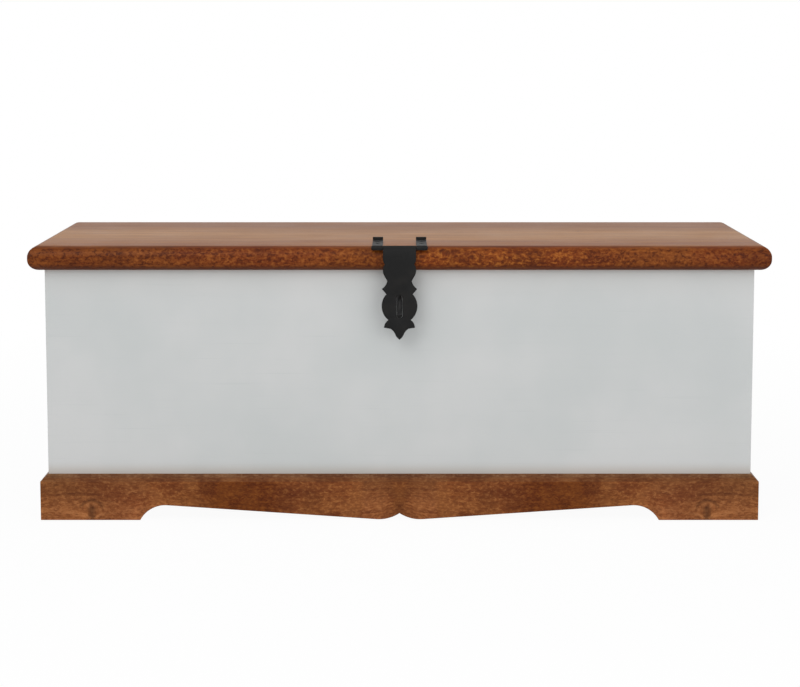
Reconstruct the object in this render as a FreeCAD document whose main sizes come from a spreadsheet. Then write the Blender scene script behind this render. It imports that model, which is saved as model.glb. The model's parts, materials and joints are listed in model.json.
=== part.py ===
"""Storage trunk: a boarded blanket chest with a hinged lid, a scrolled plinth and a wrought latch.

Millimetres. X runs along the front, Y from the front to the back, Z up. The origin lies on the floor,
under the middle of the trunk with its latch. All sizes stand in the sheet called Sizes; the pieces are
bound to them by formulas.
"""
import FreeCAD, Part
import math
import os
from types import SimpleNamespace

import Sketcher

SIZES = {
    # lid
    "lid_length": 1200,
    "lid_depth": 450,
    "lid_thickness": 40,
    "nose_radius": 18,
    "rear_round": 3,
    "front_stave": 113,
    "rear_stave": 150,
    "lid_overhang": 24,
    # carcass
    "carcass_top": 412,
    "carcass_rise": 35,
    "panel_thickness": 20,
    "bottom_thickness": 12,
    "cleat_side": 20,
    "block_side": 60,
    # plinth
    "plinth_height": 75,
    "plinth_thickness": 12,
    "plinth_chamfer": 11,
    "front_foot": 163,
    "side_foot": 100,
    "scroll_radius": 47,
    "scroll_crown": 24.7,
    "lobe_radius": 62,
    "lobe_offset": 34,
    "lobe_rise": 1.3,
    # battens under the lid
    "batten_width": 40,
    "batten_height": 20,
    "batten_end_gap": 21,
    "batten_chamfer": 12,
    "batten_inset": 156,
    # dowels
    "corner_dowel_diameter": 8,
    "corner_dowel_length": 40,
    "corner_dowel_bite": 12,
    "corner_dowel_inset": 46,
    "lid_dowel_diameter": 10,
    "lid_dowel_length": 50,
    "lid_dowel_inset": 105,
    # wood screws
    "screw_diameter": 4,
    "screw_head_diameter": 8,
    "screw_head_height": 2.2,
    "screw_point": 4,
    "cleat_screw_length": 32,
    "cleat_screw_inset": 106,
    "side_screw_inset": 81,
    "bottom_screw_length": 26,
    "bottom_screw_inset": 166,
    "batten_screw_length": 38,
    "hinge_screw_length": 20,
    "latch_screw_length": 18,
    # butt hinges
    "hinge_inset": 176,
    "hinge_length": 76,
    "hinge_leaf_width": 18,
    "hinge_leaf_thickness": 2.5,
    "hinge_knuckle_diameter": 10,
    "hinge_pin_diameter": 5,
    "hinge_screw_inset": 12,
    "pin_head_diameter": 7.4,
    "pin_head_height": 1.5,
    "notch_end_room": 1.5,
    # clearances
    "pin_clearance": 0.1,
    "end_clearance": 0.2,
    "knuckle_clearance": 0.5,
    # latch
    "latch_axis_ahead": 4,
    "latch_axis_drop": 2,
    "latch_knuckle_diameter": 10,
    "latch_pin_diameter": 5,
    "strap_thickness": 2.5,
    "strap_half_width": 26.5,
    "strap_drop": 146.9,
    "disc_radius": 28.3,
    "disc_drop": 93.5,
    "slot_width": 9,
    "slot_height": 38,
    "slot_drop": 95,
    "prong_width": 17,
    "prong_thickness": 3,
    "prong_reach": 83,
    "prong_curl_diameter": 8,
    "prong_screw_pitch": 30,
    "prong_screw_back": 33,
    # staple on the front panel
    "staple_rod_diameter": 5,
    "staple_height": 28,
    "staple_gap": 2.5,
    "staple_bite": 16,
}

SIDE_DOWELS = 4
LID_DOWELS = 4
FRONT_CLEAT_SCREWS = 4
SIDE_CLEAT_SCREWS = 2
BOTTOM_SCREWS = 4
LEAF_SCREWS = 3
PRONG_SCREWS = 2
KNUCKLES = 5

# The latch strap's outline below its knuckle, from the top down. Each row holds the half width as a share
# of the disc's radius, the drop as a share of the strap's drop, and the bulge of the edge that ends there
# as a share of its chord: positive bows outwards, negative bows inwards, nought is straight.
SHOULDER_SHARES = ((0.936, 0.088, 0.0), (0.823, 0.177, 0.11), (0.848, 0.300, 0.147), (0.675, 0.359, 0.0),
                   (0.958, 0.446, -0.13), (0.728, 0.504, 0.0))
TIP_SHARES = ((0.855, 0.868, 0.11), (0.519, 0.885, 0.0), (0.0, 1.0, -0.045))
DISC_END_SHARE = 0.607

doc = FreeCAD.newDocument("storage_trunk")
sheet = doc.addObject("Spreadsheet::Sheet", "Sizes")
nodes = []


class Dimension:
    """A number together with the sheet formula that gives it."""

    def __init__(self, value, text):
        self.value = value
        self.text = text

    def __add__(self, other):
        other = dimension(other)
        return Dimension(self.value + other.value, f"({self.text} + {other.text})")

    def __sub__(self, other):
        other = dimension(other)
        return Dimension(self.value - other.value, f"({self.text} - {other.text})")

    def __mul__(self, other):
        other = dimension(other)
        return Dimension(self.value * other.value, f"({self.text} * {other.text})")

    def __truediv__(self, other):
        other = dimension(other)
        return Dimension(self.value / other.value, f"({self.text} / {other.text})")

    def __neg__(self):
        return Dimension(-self.value, f"(-1 * {self.text})")

    __radd__ = __add__
    __rmul__ = __mul__


def dimension(number):
    """A plain number as a dimension, and a dimension as it is."""
    if isinstance(number, Dimension):
        return number
    return Dimension(float(number), f"({number:.9g})")


def root(square):
    return Dimension(math.sqrt(square.value), f"sqrt({square.text})")


def hypotenuse(across, up):
    return root(across * across + up * up)


def sine(angle):
    return Dimension(math.sin(math.radians(angle.value)), f"sin({angle.text})")


def cosine(angle):
    return Dimension(math.cos(math.radians(angle.value)), f"cos({angle.text})")


def angle_of_sine(ratio):
    return Dimension(math.degrees(math.asin(ratio.value)), f"asin({ratio.text})")


def angle_of_slope(up, across):
    return Dimension(math.degrees(math.atan2(up.value, across.value)), f"atan2({up.text}; {across.text})")


def fill_sheet():
    """Write the driving sizes into the sheet and return them by name."""
    sizes = {}
    for row, (alias, number) in enumerate(SIZES.items(), start=1):
        sheet.set(f"A{row}", alias)
        sheet.set(f"B{row}", str(number))
        sheet.setAlias(f"B{row}", alias)
        sizes[alias] = Dimension(float(number), f"Sizes.{alias}")
    doc.recompute()
    return SimpleNamespace(**sizes)


dim = fill_sheet()

# Places that several pieces share.
zero = dimension(0)
knuckle_radius = dim.latch_knuckle_diameter / 2
latch_reach = dim.latch_axis_ahead + knuckle_radius
middle_y = latch_reach / 2
lid_front = middle_y - dim.lid_depth / 2
lid_rear = middle_y + dim.lid_depth / 2
lid_top = dim.carcass_top + dim.lid_thickness
body_front = lid_front + dim.lid_overhang
body_back = lid_rear - dim.lid_overhang
body_depth = dim.lid_depth - dim.lid_overhang * 2
body_width = dim.lid_length - dim.lid_overhang * 2
body_side = body_width / 2
inner_front = body_front + dim.panel_thickness
inner_back = body_back - dim.panel_thickness
inner_side = body_side - dim.panel_thickness
inner_depth = body_depth - dim.panel_thickness * 2
side_cleat_length = inner_depth - dim.cleat_side * 2
panel_height = dim.carcass_top - dim.carcass_rise
floor_under = dim.carcass_rise + dim.cleat_side
floor_top = floor_under + dim.bottom_thickness
front_joint = lid_front + dim.front_stave
rear_joint = lid_rear - dim.rear_stave
hinge_radius = dim.hinge_knuckle_diameter / 2
hinge_y = body_back + hinge_radius + dim.knuckle_clearance
latch_y = lid_front - dim.latch_axis_ahead
latch_z = lid_top - dim.latch_axis_drop

UP = FreeCAD.Rotation()
DOWN = FreeCAD.Rotation(FreeCAD.Vector(1, 0, 0), 180)
ALONG_X = FreeCAD.Rotation(FreeCAD.Vector(0, 1, 0), 90)
AGAINST_X = FreeCAD.Rotation(FreeCAD.Vector(0, 1, 0), -90)
ALONG_Y = FreeCAD.Rotation(FreeCAD.Vector(1, 0, 0), -90)
AGAINST_Y = FreeCAD.Rotation(FreeCAD.Vector(1, 0, 0), 90)


def bind(item, **formulas):
    """Tie an object's properties to the sheet."""
    for name, formula in formulas.items():
        item.setExpression(name, dimension(formula).text)


def place(item, x=zero, y=zero, z=zero, turn=UP):
    """Turn an object and tie its place to the sheet."""
    item.Placement = FreeCAD.Placement(FreeCAD.Vector(), turn)
    for axis, formula in (("x", x), ("y", y), ("z", z)):
        item.setExpression(f"Placement.Base.{axis}", dimension(formula).text)
    return item


def node(item, name):
    """Name a finished piece and keep it for the export."""
    item.Label = name
    nodes.append(item)
    return item


def spread(count, length, inset):
    """Evenly spaced places about nought, the outer two an inset from the ends of a length."""
    span = length - inset * 2
    return [span * (index / (count - 1) - 0.5) for index in range(count)]


def block(name, length, width, height, x, y, z):
    """A straight-sided piece from its lowest corner."""
    item = doc.addObject("Part::Box", name)
    bind(item, Length=length, Width=width, Height=height)
    return place(item, x, y, z)


def rod(name, diameter, length, x, y, z, turn=UP):
    item = doc.addObject("Part::Cylinder", name)
    bind(item, Radius=diameter / 2, Height=length)
    return place(item, x, y, z, turn)


def group(name, items):
    """Separate solids held under one name."""
    item = doc.addObject("Part::Compound", name)
    item.Links = items
    return item


def fused(name, items):
    item = doc.addObject("Part::MultiFuse", name)
    item.Shapes = items
    return item


def common(name, items):
    item = doc.addObject("Part::MultiCommon", name)
    item.Shapes = items
    return item


def cut(name, base, tools):
    """A piece with one or more other shapes taken out of it."""
    item = doc.addObject("Part::Cut", name)
    item.Base = base
    item.Tool = tools[0] if len(tools) == 1 else fused(name + "_tools", tools)
    return item


def arc_between(start, end, radius, turn):
    """The short arc between two points; turn is 1 for anticlockwise travel and -1 for clockwise."""
    chord = end - start
    middle = start + chord * 0.5
    offset = math.sqrt(max(radius ** 2 - (chord.Length / 2) ** 2, 0))
    side = FreeCAD.Vector(-chord.y, chord.x, 0).normalize() * offset * turn
    centre = middle + side
    first, last = (start, end) if turn > 0 else (end, start)
    angles = [math.atan2(point.y - centre.y, point.x - centre.x) for point in (first, last)]
    circle = Part.Circle(centre, FreeCAD.Vector(0, 0, 1), radius)
    return Part.ArcOfCircle(circle, angles[0], angles[1])


def draw(sketch, points):
    """Close an outline. A point is (across, up), or (across, up, radius, turn) where an arc ends."""
    places = [FreeCAD.Vector(point[0].value, point[1].value, 0) for point in points]
    count = len(points)
    edges = []
    for index, start in enumerate(places):
        end = places[(index + 1) % count]
        target = points[(index + 1) % count]
        if len(target) == 2:
            edge = sketch.addGeometry(Part.LineSegment(start, end), False)
            edges.append((edge, 1, 2))
            continue
        edge = sketch.addGeometry(arc_between(start, end, target[2].value, target[3]), False)
        edges.append((edge, 1, 2) if target[3] > 0 else (edge, 2, 1))
        limit = sketch.addConstraint(Sketcher.Constraint("Radius", edge, target[2].value))
        sketch.setExpression(f"Constraints[{limit}]", target[2].text)
    for index, (edge, near, far) in enumerate(edges):
        following, following_near, _ = edges[(index + 1) % count]
        sketch.addConstraint(Sketcher.Constraint("Coincident", edge, far, following, following_near))
        for kind, formula in zip(("DistanceX", "DistanceY"), points[index]):
            limit = sketch.addConstraint(Sketcher.Constraint(kind, -1, 1, edge, near, formula.value))
            sketch.setExpression(f"Constraints[{limit}]", formula.text)


def plane_of(body, role):
    return next(item for item in body.Origin.OriginFeatures if item.Role == role)


def sketch_on(body, role, points, name):
    sketch = body.newObject("Sketcher::SketchObject", name)
    sketch.AttachmentSupport = [(plane_of(body, role), "")]
    sketch.MapMode = "FlatFace"
    draw(sketch, points)
    return sketch


def padded(name, role, points, thickness):
    """A flat outline made solid: XY_Plane rises, XZ_Plane grows forwards, YZ_Plane grows to the right."""
    body = doc.addObject("PartDesign::Body", name)
    pad = body.newObject("PartDesign::Pad", name + "_pad")
    pad.Profile = sketch_on(body, role, points, name + "_outline")
    bind(pad, Length=thickness)
    body.Tip = pad
    return body


def bulge_radius(start, end, share):
    """The radius of an arc that stands off its chord by a share of the chord."""
    chord = hypotenuse(end[0] - start[0], end[1] - start[1])
    return chord * ((1 + 4 * share * share) / (8 * abs(share)))


def mirrored(half):
    """A whole outline from its right half, both ends on the middle line, drawn anticlockwise."""
    left = []
    for index in range(len(half) - 2, 0, -1):
        across, up = half[index][:2]
        bend = half[index + 1][2:]
        left.append((-across, up) + bend)
    first = half[0][:2] + half[1][2:]
    return [first] + half[1:] + left


def rectangle(across, up):
    """A rectangle from nought."""
    return [(zero, zero), (across, zero), (across, up), (zero, up)]


def make_screw_profile(name, length):
    """Half the section of a countersunk wood screw, its head's face at nought, pointing down."""
    sketch = doc.addObject("Sketcher::SketchObject", name)
    sketch.Placement = FreeCAD.Placement(FreeCAD.Vector(), AGAINST_Y)
    shank = dim.screw_diameter / 2
    head = dim.screw_head_diameter / 2
    draw(sketch, [(zero, -length), (shank, dim.screw_point - length), (shank, -dim.screw_head_height),
                  (head, zero), (zero, zero)])
    return sketch


def screw(name, profile, x, y, z, turn=UP):
    """One screw, driven down unless it is turned; the other turns drive it against their names."""
    item = doc.addObject("Part::Revolution", name)
    item.Source = profile
    item.Axis = FreeCAD.Vector(0, 0, 1)
    item.Base = FreeCAD.Vector()
    item.Angle = 360
    item.Solid = True
    return place(item, x, y, z, turn)


def make_plinth_board(name, length, foot, scrolled, x, y, degrees):
    """A mitred board with feet, a shaped lower edge and a chamfered top, standing against the carcass."""
    half = length / 2
    heel = half - foot
    drop = dim.scroll_crown - dim.scroll_radius
    centre = heel - root(dim.scroll_radius * dim.scroll_radius - drop * drop)
    if scrolled:
        lobe_up = dim.lobe_rise + dim.lobe_radius
        across = centre - dim.lobe_offset
        up = lobe_up - drop
        reach = hypotenuse(across, up)
        slope = angle_of_sine((dim.scroll_radius + dim.lobe_radius) / reach) - angle_of_slope(up, across)
        crown = (centre - dim.scroll_radius * sine(slope), drop + dim.scroll_radius * cosine(slope))
        low = (dim.lobe_offset + dim.lobe_radius * sine(slope), lobe_up - dim.lobe_radius * cosine(slope))
        cusp = lobe_up - root(dim.lobe_radius * dim.lobe_radius - dim.lobe_offset * dim.lobe_offset)
        edge = [(zero, cusp), low + (dim.lobe_radius, 1), crown]
    else:
        crown = (centre, dim.scroll_crown)
        edge = [(zero, dim.scroll_crown), crown]
    lower = edge + [(heel, zero, dim.scroll_radius, -1), (half, zero), (half, dim.plinth_height)]
    outline = mirrored(lower + [(zero, dim.plinth_height)])
    thickness = dim.plinth_thickness
    land = thickness - dim.plinth_chamfer
    section = [(-thickness, zero), (zero, zero), (zero, dim.plinth_height), (-land, dim.plinth_height),
               (-thickness, dim.plinth_height - dim.plinth_chamfer)]
    plan = [(-half, -thickness), (half, -thickness), (half - thickness, zero), (thickness - half, zero)]
    shapes = [
        padded(name + "_front", "XZ_Plane", outline, thickness),
        place(padded(name + "_section", "YZ_Plane", section, length), x=-half),
        padded(name + "_plan", "XY_Plane", plan, dim.plinth_height),
    ]
    board = common(name + "_board", shapes)
    place(board, x, y, zero, FreeCAD.Rotation(FreeCAD.Vector(0, 0, 1), degrees))
    return node(board, name)


def make_plinth():
    thickness = dim.plinth_thickness
    long_side = body_width + thickness * 2
    short_side = body_depth + thickness * 2
    make_plinth_board("plinth_front", long_side, dim.front_foot, True, zero, body_front, 0)
    make_plinth_board("plinth_right", short_side, dim.side_foot, False, body_side, middle_y, 90)
    make_plinth_board("plinth_back", long_side, dim.front_foot, False, zero, body_back, 180)
    make_plinth_board("plinth_left", short_side, dim.side_foot, False, -body_side, middle_y, 270)
    side = dim.block_side
    for depth_name, y in (("front", body_front), ("back", body_back - side)):
        for side_name, x in (("left", -body_side), ("right", body_side - side)):
            name = f"corner_block_{depth_name}_{side_name}"
            node(block(name + "_box", side, side, dim.carcass_rise, x, y, zero), name)


def make_corner_dowels():
    """Dowels that pin the front and back panels to the ends of the side panels."""
    middle = dim.carcass_rise + panel_height / 2
    across = body_side - dim.panel_thickness / 2
    rods = {"front": [], "back": [], "left": [], "right": []}
    for end, y in (("front", inner_front - dim.corner_dowel_bite),
                   ("back", inner_back + dim.corner_dowel_bite - dim.corner_dowel_length)):
        for side, x in (("left", -across), ("right", across)):
            for index, up in enumerate(spread(SIDE_DOWELS, panel_height, dim.corner_dowel_inset)):
                dowel = rod(f"dowel_{end}_{side}_{index}", dim.corner_dowel_diameter, dim.corner_dowel_length,
                            x, y, middle + up, ALONG_Y)
                rods[end].append(dowel)
                rods[side].append(dowel)
    node(group("corner_dowel_group", rods["front"] + rods["back"]), "corner_dowels")
    return rods


def make_cleat_screws():
    """Screws through the cleats into the panels, driven from inside."""
    profile = make_screw_profile("cleat_screw_profile", dim.cleat_screw_length)
    up = dim.carcass_rise + dim.cleat_side / 2
    screws = {"front": [], "back": [], "left": [], "right": []}
    front_y = inner_front + dim.cleat_side
    back_y = inner_back - dim.cleat_side
    for index, x in enumerate(spread(FRONT_CLEAT_SCREWS, inner_side * 2, dim.cleat_screw_inset)):
        screws["front"].append(screw(f"front_cleat_screw_{index}", profile, x, front_y, up, ALONG_Y))
        screws["back"].append(screw(f"back_cleat_screw_{index}", profile, x, back_y, up, AGAINST_Y))
    across = inner_side - dim.cleat_side
    for index, y in enumerate(spread(SIDE_CLEAT_SCREWS, side_cleat_length, dim.side_screw_inset)):
        depth = middle_y + y
        screws["left"].append(screw(f"left_cleat_screw_{index}", profile, -across, depth, up, ALONG_X))
        screws["right"].append(screw(f"right_cleat_screw_{index}", profile, across, depth, up, AGAINST_X))
    node(group("cleat_screw_group", sum(screws.values(), [])), "cleat_screws")
    return screws


def make_floor(cleat_screws):
    """The bottom board on its four cleats."""
    profile = make_screw_profile("bottom_screw_profile", dim.bottom_screw_length)
    down = {"front": [], "back": []}
    half_cleat = dim.cleat_side / 2
    for end, y in (("front", inner_front + half_cleat), ("back", inner_back - half_cleat)):
        for index, x in enumerate(spread(BOTTOM_SCREWS, inner_side * 2, dim.bottom_screw_inset)):
            down[end].append(screw(f"{end}_bottom_screw_{index}", profile, x, y, floor_top))
    node(group("bottom_screw_group", down["front"] + down["back"]), "bottom_screws")

    length = inner_side * 2
    side = dim.cleat_side
    rise = dim.carcass_rise
    board = block("bottom_board", length, inner_depth, dim.bottom_thickness,
                  -inner_side, inner_front, floor_under)
    node(cut("bottom_cut", board, down["front"] + down["back"]), "bottom_panel")
    for end, y in (("front", inner_front), ("back", inner_back - side)):
        strip = block(end + "_cleat_strip", length, side, side, -inner_side, y, rise)
        node(cut(end + "_cleat_cut", strip, down[end] + cleat_screws[end]), f"bottom_cleat_{end}")
    for end, x in (("left", -inner_side), ("right", inner_side - side)):
        strip = block(end + "_cleat_strip", side, side_cleat_length, side, x, inner_front + side, rise)
        node(cut(end + "_cleat_cut", strip, cleat_screws[end]), f"bottom_cleat_{end}")


def make_staple():
    """A round rod bent to a loop that stands upright, its legs driven into the front panel."""
    radius = (dim.staple_height - dim.staple_rod_diameter) / 2
    up = latch_z - dim.slot_drop
    tip = latch_y - knuckle_radius + dim.strap_thickness + dim.staple_gap
    bend = tip + dim.staple_rod_diameter / 2 + radius
    leg_end = body_front + dim.staple_bite
    bow = doc.addObject("Part::Torus", "staple_bow")
    bind(bow, Radius1=radius, Radius2=dim.staple_rod_diameter / 2)
    bow.Angle3 = 180
    about_face = FreeCAD.Rotation(FreeCAD.Vector(0, 0, 1), 180)
    place(bow, zero, bend, up, ALONG_X.multiply(about_face))
    legs = [rod(f"staple_leg_{side}", dim.staple_rod_diameter, leg_end - bend, zero, bend, height, ALONG_Y)
            for side, height in (("low", up - radius), ("high", up + radius))]
    node(fused("staple_rod", [bow] + legs), "hasp_staple")
    return legs


def hinge_places():
    across = body_side - dim.hinge_inset
    return (("left", -across), ("right", across))


def make_leaf_screws(name, turn):
    """Three screws for each leaf; every head's face lies in the plane where the leaves meet."""
    profile = make_screw_profile(name + "_profile", dim.hinge_screw_length)
    y = body_back - dim.hinge_leaf_width / 2
    screws = {}
    for side, middle in hinge_places():
        screws[side] = [
            screw(f"{name}_{side}_{index}", profile, middle + along, y, dim.carcass_top, turn)
            for index, along in enumerate(spread(LEAF_SCREWS, dim.hinge_length, dim.hinge_screw_inset))
        ]
    node(group(name + "_group", screws["left"] + screws["right"]), name)
    return screws


def make_leaf(name, middle, screws, owned, z, bore):
    """One leaf of a butt hinge: the plate, and the knuckles that it owns, joined by short webs."""
    pitch = dim.hinge_length / KNUCKLES
    edge = hinge_y - hinge_radius - dim.knuckle_clearance
    front = body_back - dim.hinge_leaf_width
    left = middle - dim.hinge_length / 2
    parts = [block(name + "_plate", dim.hinge_length, edge - front, dim.hinge_leaf_thickness, left, front, z)]
    for index in owned:
        start = left + pitch * index + dim.end_clearance
        length = pitch - dim.end_clearance * 2
        parts.append(block(f"{name}_web_{index}", length, hinge_y - edge, dim.hinge_leaf_thickness,
                           start, edge, z))
        parts.append(rod(f"{name}_knuckle_{index}", dim.hinge_knuckle_diameter, length,
                         start, hinge_y, dim.carcass_top, ALONG_X))
    hole = rod(name + "_bore", bore, dim.hinge_length, left, hinge_y, dim.carcass_top, ALONG_X)
    return cut(name + "_cut", fused(name + "_blank", parts), [hole] + screws)


def make_pin(name, diameter, half, x, y, z):
    """A pin with a low cone of a head at each end."""
    parts = [rod(name + "_shank", diameter, half * 2, x - half, y, z, ALONG_X)]
    for side, start, turn in (("left", x - half, AGAINST_X), ("right", x + half, ALONG_X)):
        head = doc.addObject("Part::Cone", f"{name}_head_{side}")
        bind(head, Radius1=dim.pin_head_diameter / 2, Radius2=diameter / 2, Height=dim.pin_head_height)
        parts.append(place(head, start, y, z, turn))
    return node(fused(name + "_pin", parts), name)


def make_hinges():
    """Both butt hinges, and the recesses that they need in the back panel and in the lid."""
    body_screws = make_leaf_screws("body_leaf_screws", UP)
    lid_screws = make_leaf_screws("lid_leaf_screws", DOWN)
    in_panel = sum(body_screws.values(), [])
    in_lid = sum(lid_screws.values(), [])
    thickness = dim.hinge_leaf_thickness
    running_bore = dim.hinge_pin_diameter + dim.pin_clearance * 2
    for side, middle in hinge_places():
        low = dim.carcass_top - thickness
        body_leaf = make_leaf(f"body_leaf_{side}", middle, body_screws[side], range(0, KNUCKLES, 2), low,
                              dim.hinge_pin_diameter)
        node(body_leaf, f"hinge_body_leaf_{side}")
        lid_leaf = make_leaf(f"lid_leaf_{side}", middle, lid_screws[side], range(1, KNUCKLES, 2),
                             dim.carcass_top, running_bore)
        node(lid_leaf, f"hinge_lid_leaf_{side}")
        make_pin(f"hinge_pin_{side}", dim.hinge_pin_diameter, dim.hinge_length / 2, middle, hinge_y,
                 dim.carcass_top)
        left = middle - dim.hinge_length / 2
        front = body_back - dim.hinge_leaf_width
        in_panel.append(block(f"panel_recess_{side}", dim.hinge_length, dim.hinge_leaf_width, thickness,
                              left, front, low))
        in_lid.append(block(f"lid_recess_{side}", dim.hinge_length, dim.hinge_leaf_width, thickness,
                            left, front, dim.carcass_top))
        end_room = dim.pin_head_height + dim.notch_end_room
        room = hinge_radius + dim.knuckle_clearance
        in_lid.append(block(f"lid_notch_{side}", dim.hinge_length + end_room * 2, room * 2, room,
                            left - end_room, hinge_y - room, dim.carcass_top))
    return in_panel, in_lid


def make_carcass(in_back_panel):
    """Four panels: the front and the back cover the ends of the sides."""
    dowels = make_corner_dowels()
    cleat_screws = make_cleat_screws()
    make_floor(cleat_screws)
    staple_legs = make_staple()
    thickness = dim.panel_thickness
    rise = dim.carcass_rise
    front = block("front_board", body_width, thickness, panel_height, -body_side, body_front, rise)
    back = block("back_board", body_width, thickness, panel_height, -body_side, inner_back, rise)
    node(cut("front_cut", front, dowels["front"] + cleat_screws["front"] + staple_legs), "front_panel")
    node(cut("back_cut", back, dowels["back"] + cleat_screws["back"] + in_back_panel), "back_panel")
    for end, x in (("left", -body_side), ("right", inner_side)):
        side = block(end + "_board", thickness, inner_depth, panel_height, x, inner_front, rise)
        node(cut(end + "_cut", side, dowels[end] + cleat_screws[end]), f"{end}_panel")


def make_lid_dowels():
    """Dowels across the two glue joints of the lid."""
    rods = {}
    up = dim.carcass_top + dim.lid_thickness / 2
    for joint, y in (("front", front_joint), ("rear", rear_joint)):
        rods[joint] = [rod(f"lid_dowel_{joint}_{index}", dim.lid_dowel_diameter, dim.lid_dowel_length, x,
                           y - dim.lid_dowel_length / 2, up, ALONG_Y)
                       for index, x in enumerate(spread(LID_DOWELS, dim.lid_length, dim.lid_dowel_inset))]
    node(group("lid_dowel_group", rods["front"] + rods["rear"]), "lid_dowels")
    return rods


def make_battens():
    """Two battens under the lid, chamfered at the lower ends, each with a screw into every stave."""
    profile = make_screw_profile("batten_screw_profile", dim.batten_screw_length)
    under = dim.carcass_top - dim.batten_height
    front = inner_front + dim.batten_end_gap
    back = inner_back - dim.batten_end_gap
    length = back - front
    chamfer = dim.batten_chamfer
    side_view = [(chamfer, zero), (length - chamfer, zero), (length, chamfer), (length, dim.batten_height),
                 (zero, dim.batten_height), (zero, chamfer)]
    stretches = {
        "front": (front, front_joint),
        "middle": (front_joint, rear_joint),
        "rear": (rear_joint, back),
    }
    screws = {stave: [] for stave in stretches}
    across = inner_side - dim.batten_inset
    for side, middle in (("left", -across), ("right", across)):
        own = []
        for stave, (start, end) in stretches.items():
            own.append(screw(f"batten_screw_{side}_{stave}", profile, middle, (start + end) / 2, under, DOWN))
            screws[stave].append(own[-1])
        blank = padded(f"batten_{side}", "YZ_Plane", side_view, dim.batten_width)
        place(blank, middle - dim.batten_width / 2, front, under)
        node(cut(f"batten_{side}_cut", blank, own), f"lid_batten_{side}")
    node(group("batten_screw_group", sum(screws.values(), [])), "batten_screws")
    return screws


def make_lid(hinge_tools, latch_screws):
    """Three staves glued edge to edge, their front and ends worked to one round nose."""
    dowels = make_lid_dowels()
    batten_screws = make_battens()
    radius = dim.nose_radius
    height = dim.lid_thickness
    half = dim.lid_length / 2
    ends = [(zero, zero), (half - radius, zero), (half, radius, radius, 1), (half, height - radius),
            (half - radius, height, radius, 1), (zero, height)]
    end_shape = padded("lid_ends", "XZ_Plane", mirrored(ends), dim.lid_depth)
    place(end_shape, zero, lid_rear, dim.carcass_top)
    front_width = dim.front_stave
    front_view = [(radius, zero, radius, 1), (front_width, zero), (front_width, height), (radius, height),
                  (zero, height - radius, radius, 1), (zero, radius)]
    middle_width = rear_joint - front_joint
    rear_width = dim.rear_stave
    ease = dim.rear_round
    rear_view = [(zero, zero), (rear_width - ease, zero), (rear_width, ease, ease, 1),
                 (rear_width, height - ease), (rear_width - ease, height, ease, 1), (zero, height)]
    staves = (
        ("front", front_view, lid_front, dowels["front"] + latch_screws),
        ("middle", rectangle(middle_width, height), front_joint, dowels["front"] + dowels["rear"]),
        ("rear", rear_view, rear_joint, dowels["rear"] + hinge_tools),
    )
    for name, section, y, tools in staves:
        stave = padded(f"stave_{name}", "YZ_Plane", section, dim.lid_length)
        place(stave, -half, y, dim.carcass_top)
        shaped = common(f"stave_{name}_shaped", [stave, end_shape])
        node(cut(f"stave_{name}_cut", shaped, tools + batten_screws[name]), f"lid_board_{name}")


def make_prongs():
    """Two straps on the lid: a knuckle at the front, a flat bar, and a curl at the back."""
    profile = make_screw_profile("latch_screw_profile", dim.latch_screw_length)
    inner = dim.strap_half_width + dim.knuckle_clearance
    radius = knuckle_radius
    curl = dim.prong_curl_diameter / 2
    reach = dim.prong_reach
    bar_top = radius
    bar_under = radius - dim.prong_thickness
    curl_up = bar_under + curl
    curl_start = reach - root(curl * curl - (curl_up - bar_top) * (curl_up - bar_top))
    roll_end = root(radius * radius - bar_under * bar_under)
    side_view = [
        (zero, bar_top, radius, -1), (curl_start, bar_top), (reach, curl_up + curl, curl, -1),
        (reach + curl, curl_up, curl, -1), (reach, bar_under, curl, -1), (roll_end, bar_under),
        (zero, -radius, radius, -1), (-radius, zero, radius, -1),
    ]
    screws = []
    for side, left in (("left", -inner - dim.prong_width), ("right", inner)):
        name = f"prong_{side}"
        middle = left + dim.prong_width / 2
        own = [screw(f"{name}_screw_{index}", profile, middle,
                     latch_y + dim.prong_screw_back + dim.prong_screw_pitch * index, latch_z + bar_top)
               for index in range(PRONG_SCREWS)]
        blank = place(padded(name + "_blank", "YZ_Plane", side_view, dim.prong_width), left, latch_y, latch_z)
        bore = rod(name + "_bore", dim.latch_pin_diameter, dim.prong_width, left, latch_y, latch_z, ALONG_X)
        node(cut(name + "_cut", blank, [bore] + own), f"hasp_leaf_{side}")
        screws += own
    node(group("latch_screw_group", screws), "hasp_leaf_screws")
    make_pin("hasp_pin", dim.latch_pin_diameter, inner + dim.prong_width, zero, latch_y, latch_z)
    return screws


def strap_outline():
    """The strap's face, from the top of its knuckle down to the tip; nought is the pin's middle line."""
    def step(points, shares):
        across, down, bulge = shares
        end = (dim.disc_radius * across, -dim.strap_drop * down)
        if bulge == 0:
            return end
        return end + (bulge_radius(points[-1], end, bulge), -1 if bulge > 0 else 1)

    radius = dim.disc_radius
    points = [(zero, knuckle_radius), (dim.strap_half_width, knuckle_radius)]
    for shares in SHOULDER_SHARES:
        points.append(step(points, shares))
    end_across = radius * DISC_END_SHARE
    end_up = -dim.disc_drop - root(radius * radius - end_across * end_across)
    points.append((end_across, end_up, radius, -1))
    for shares in TIP_SHARES:
        points.append(step(points, shares))
    return mirrored(points)


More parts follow.
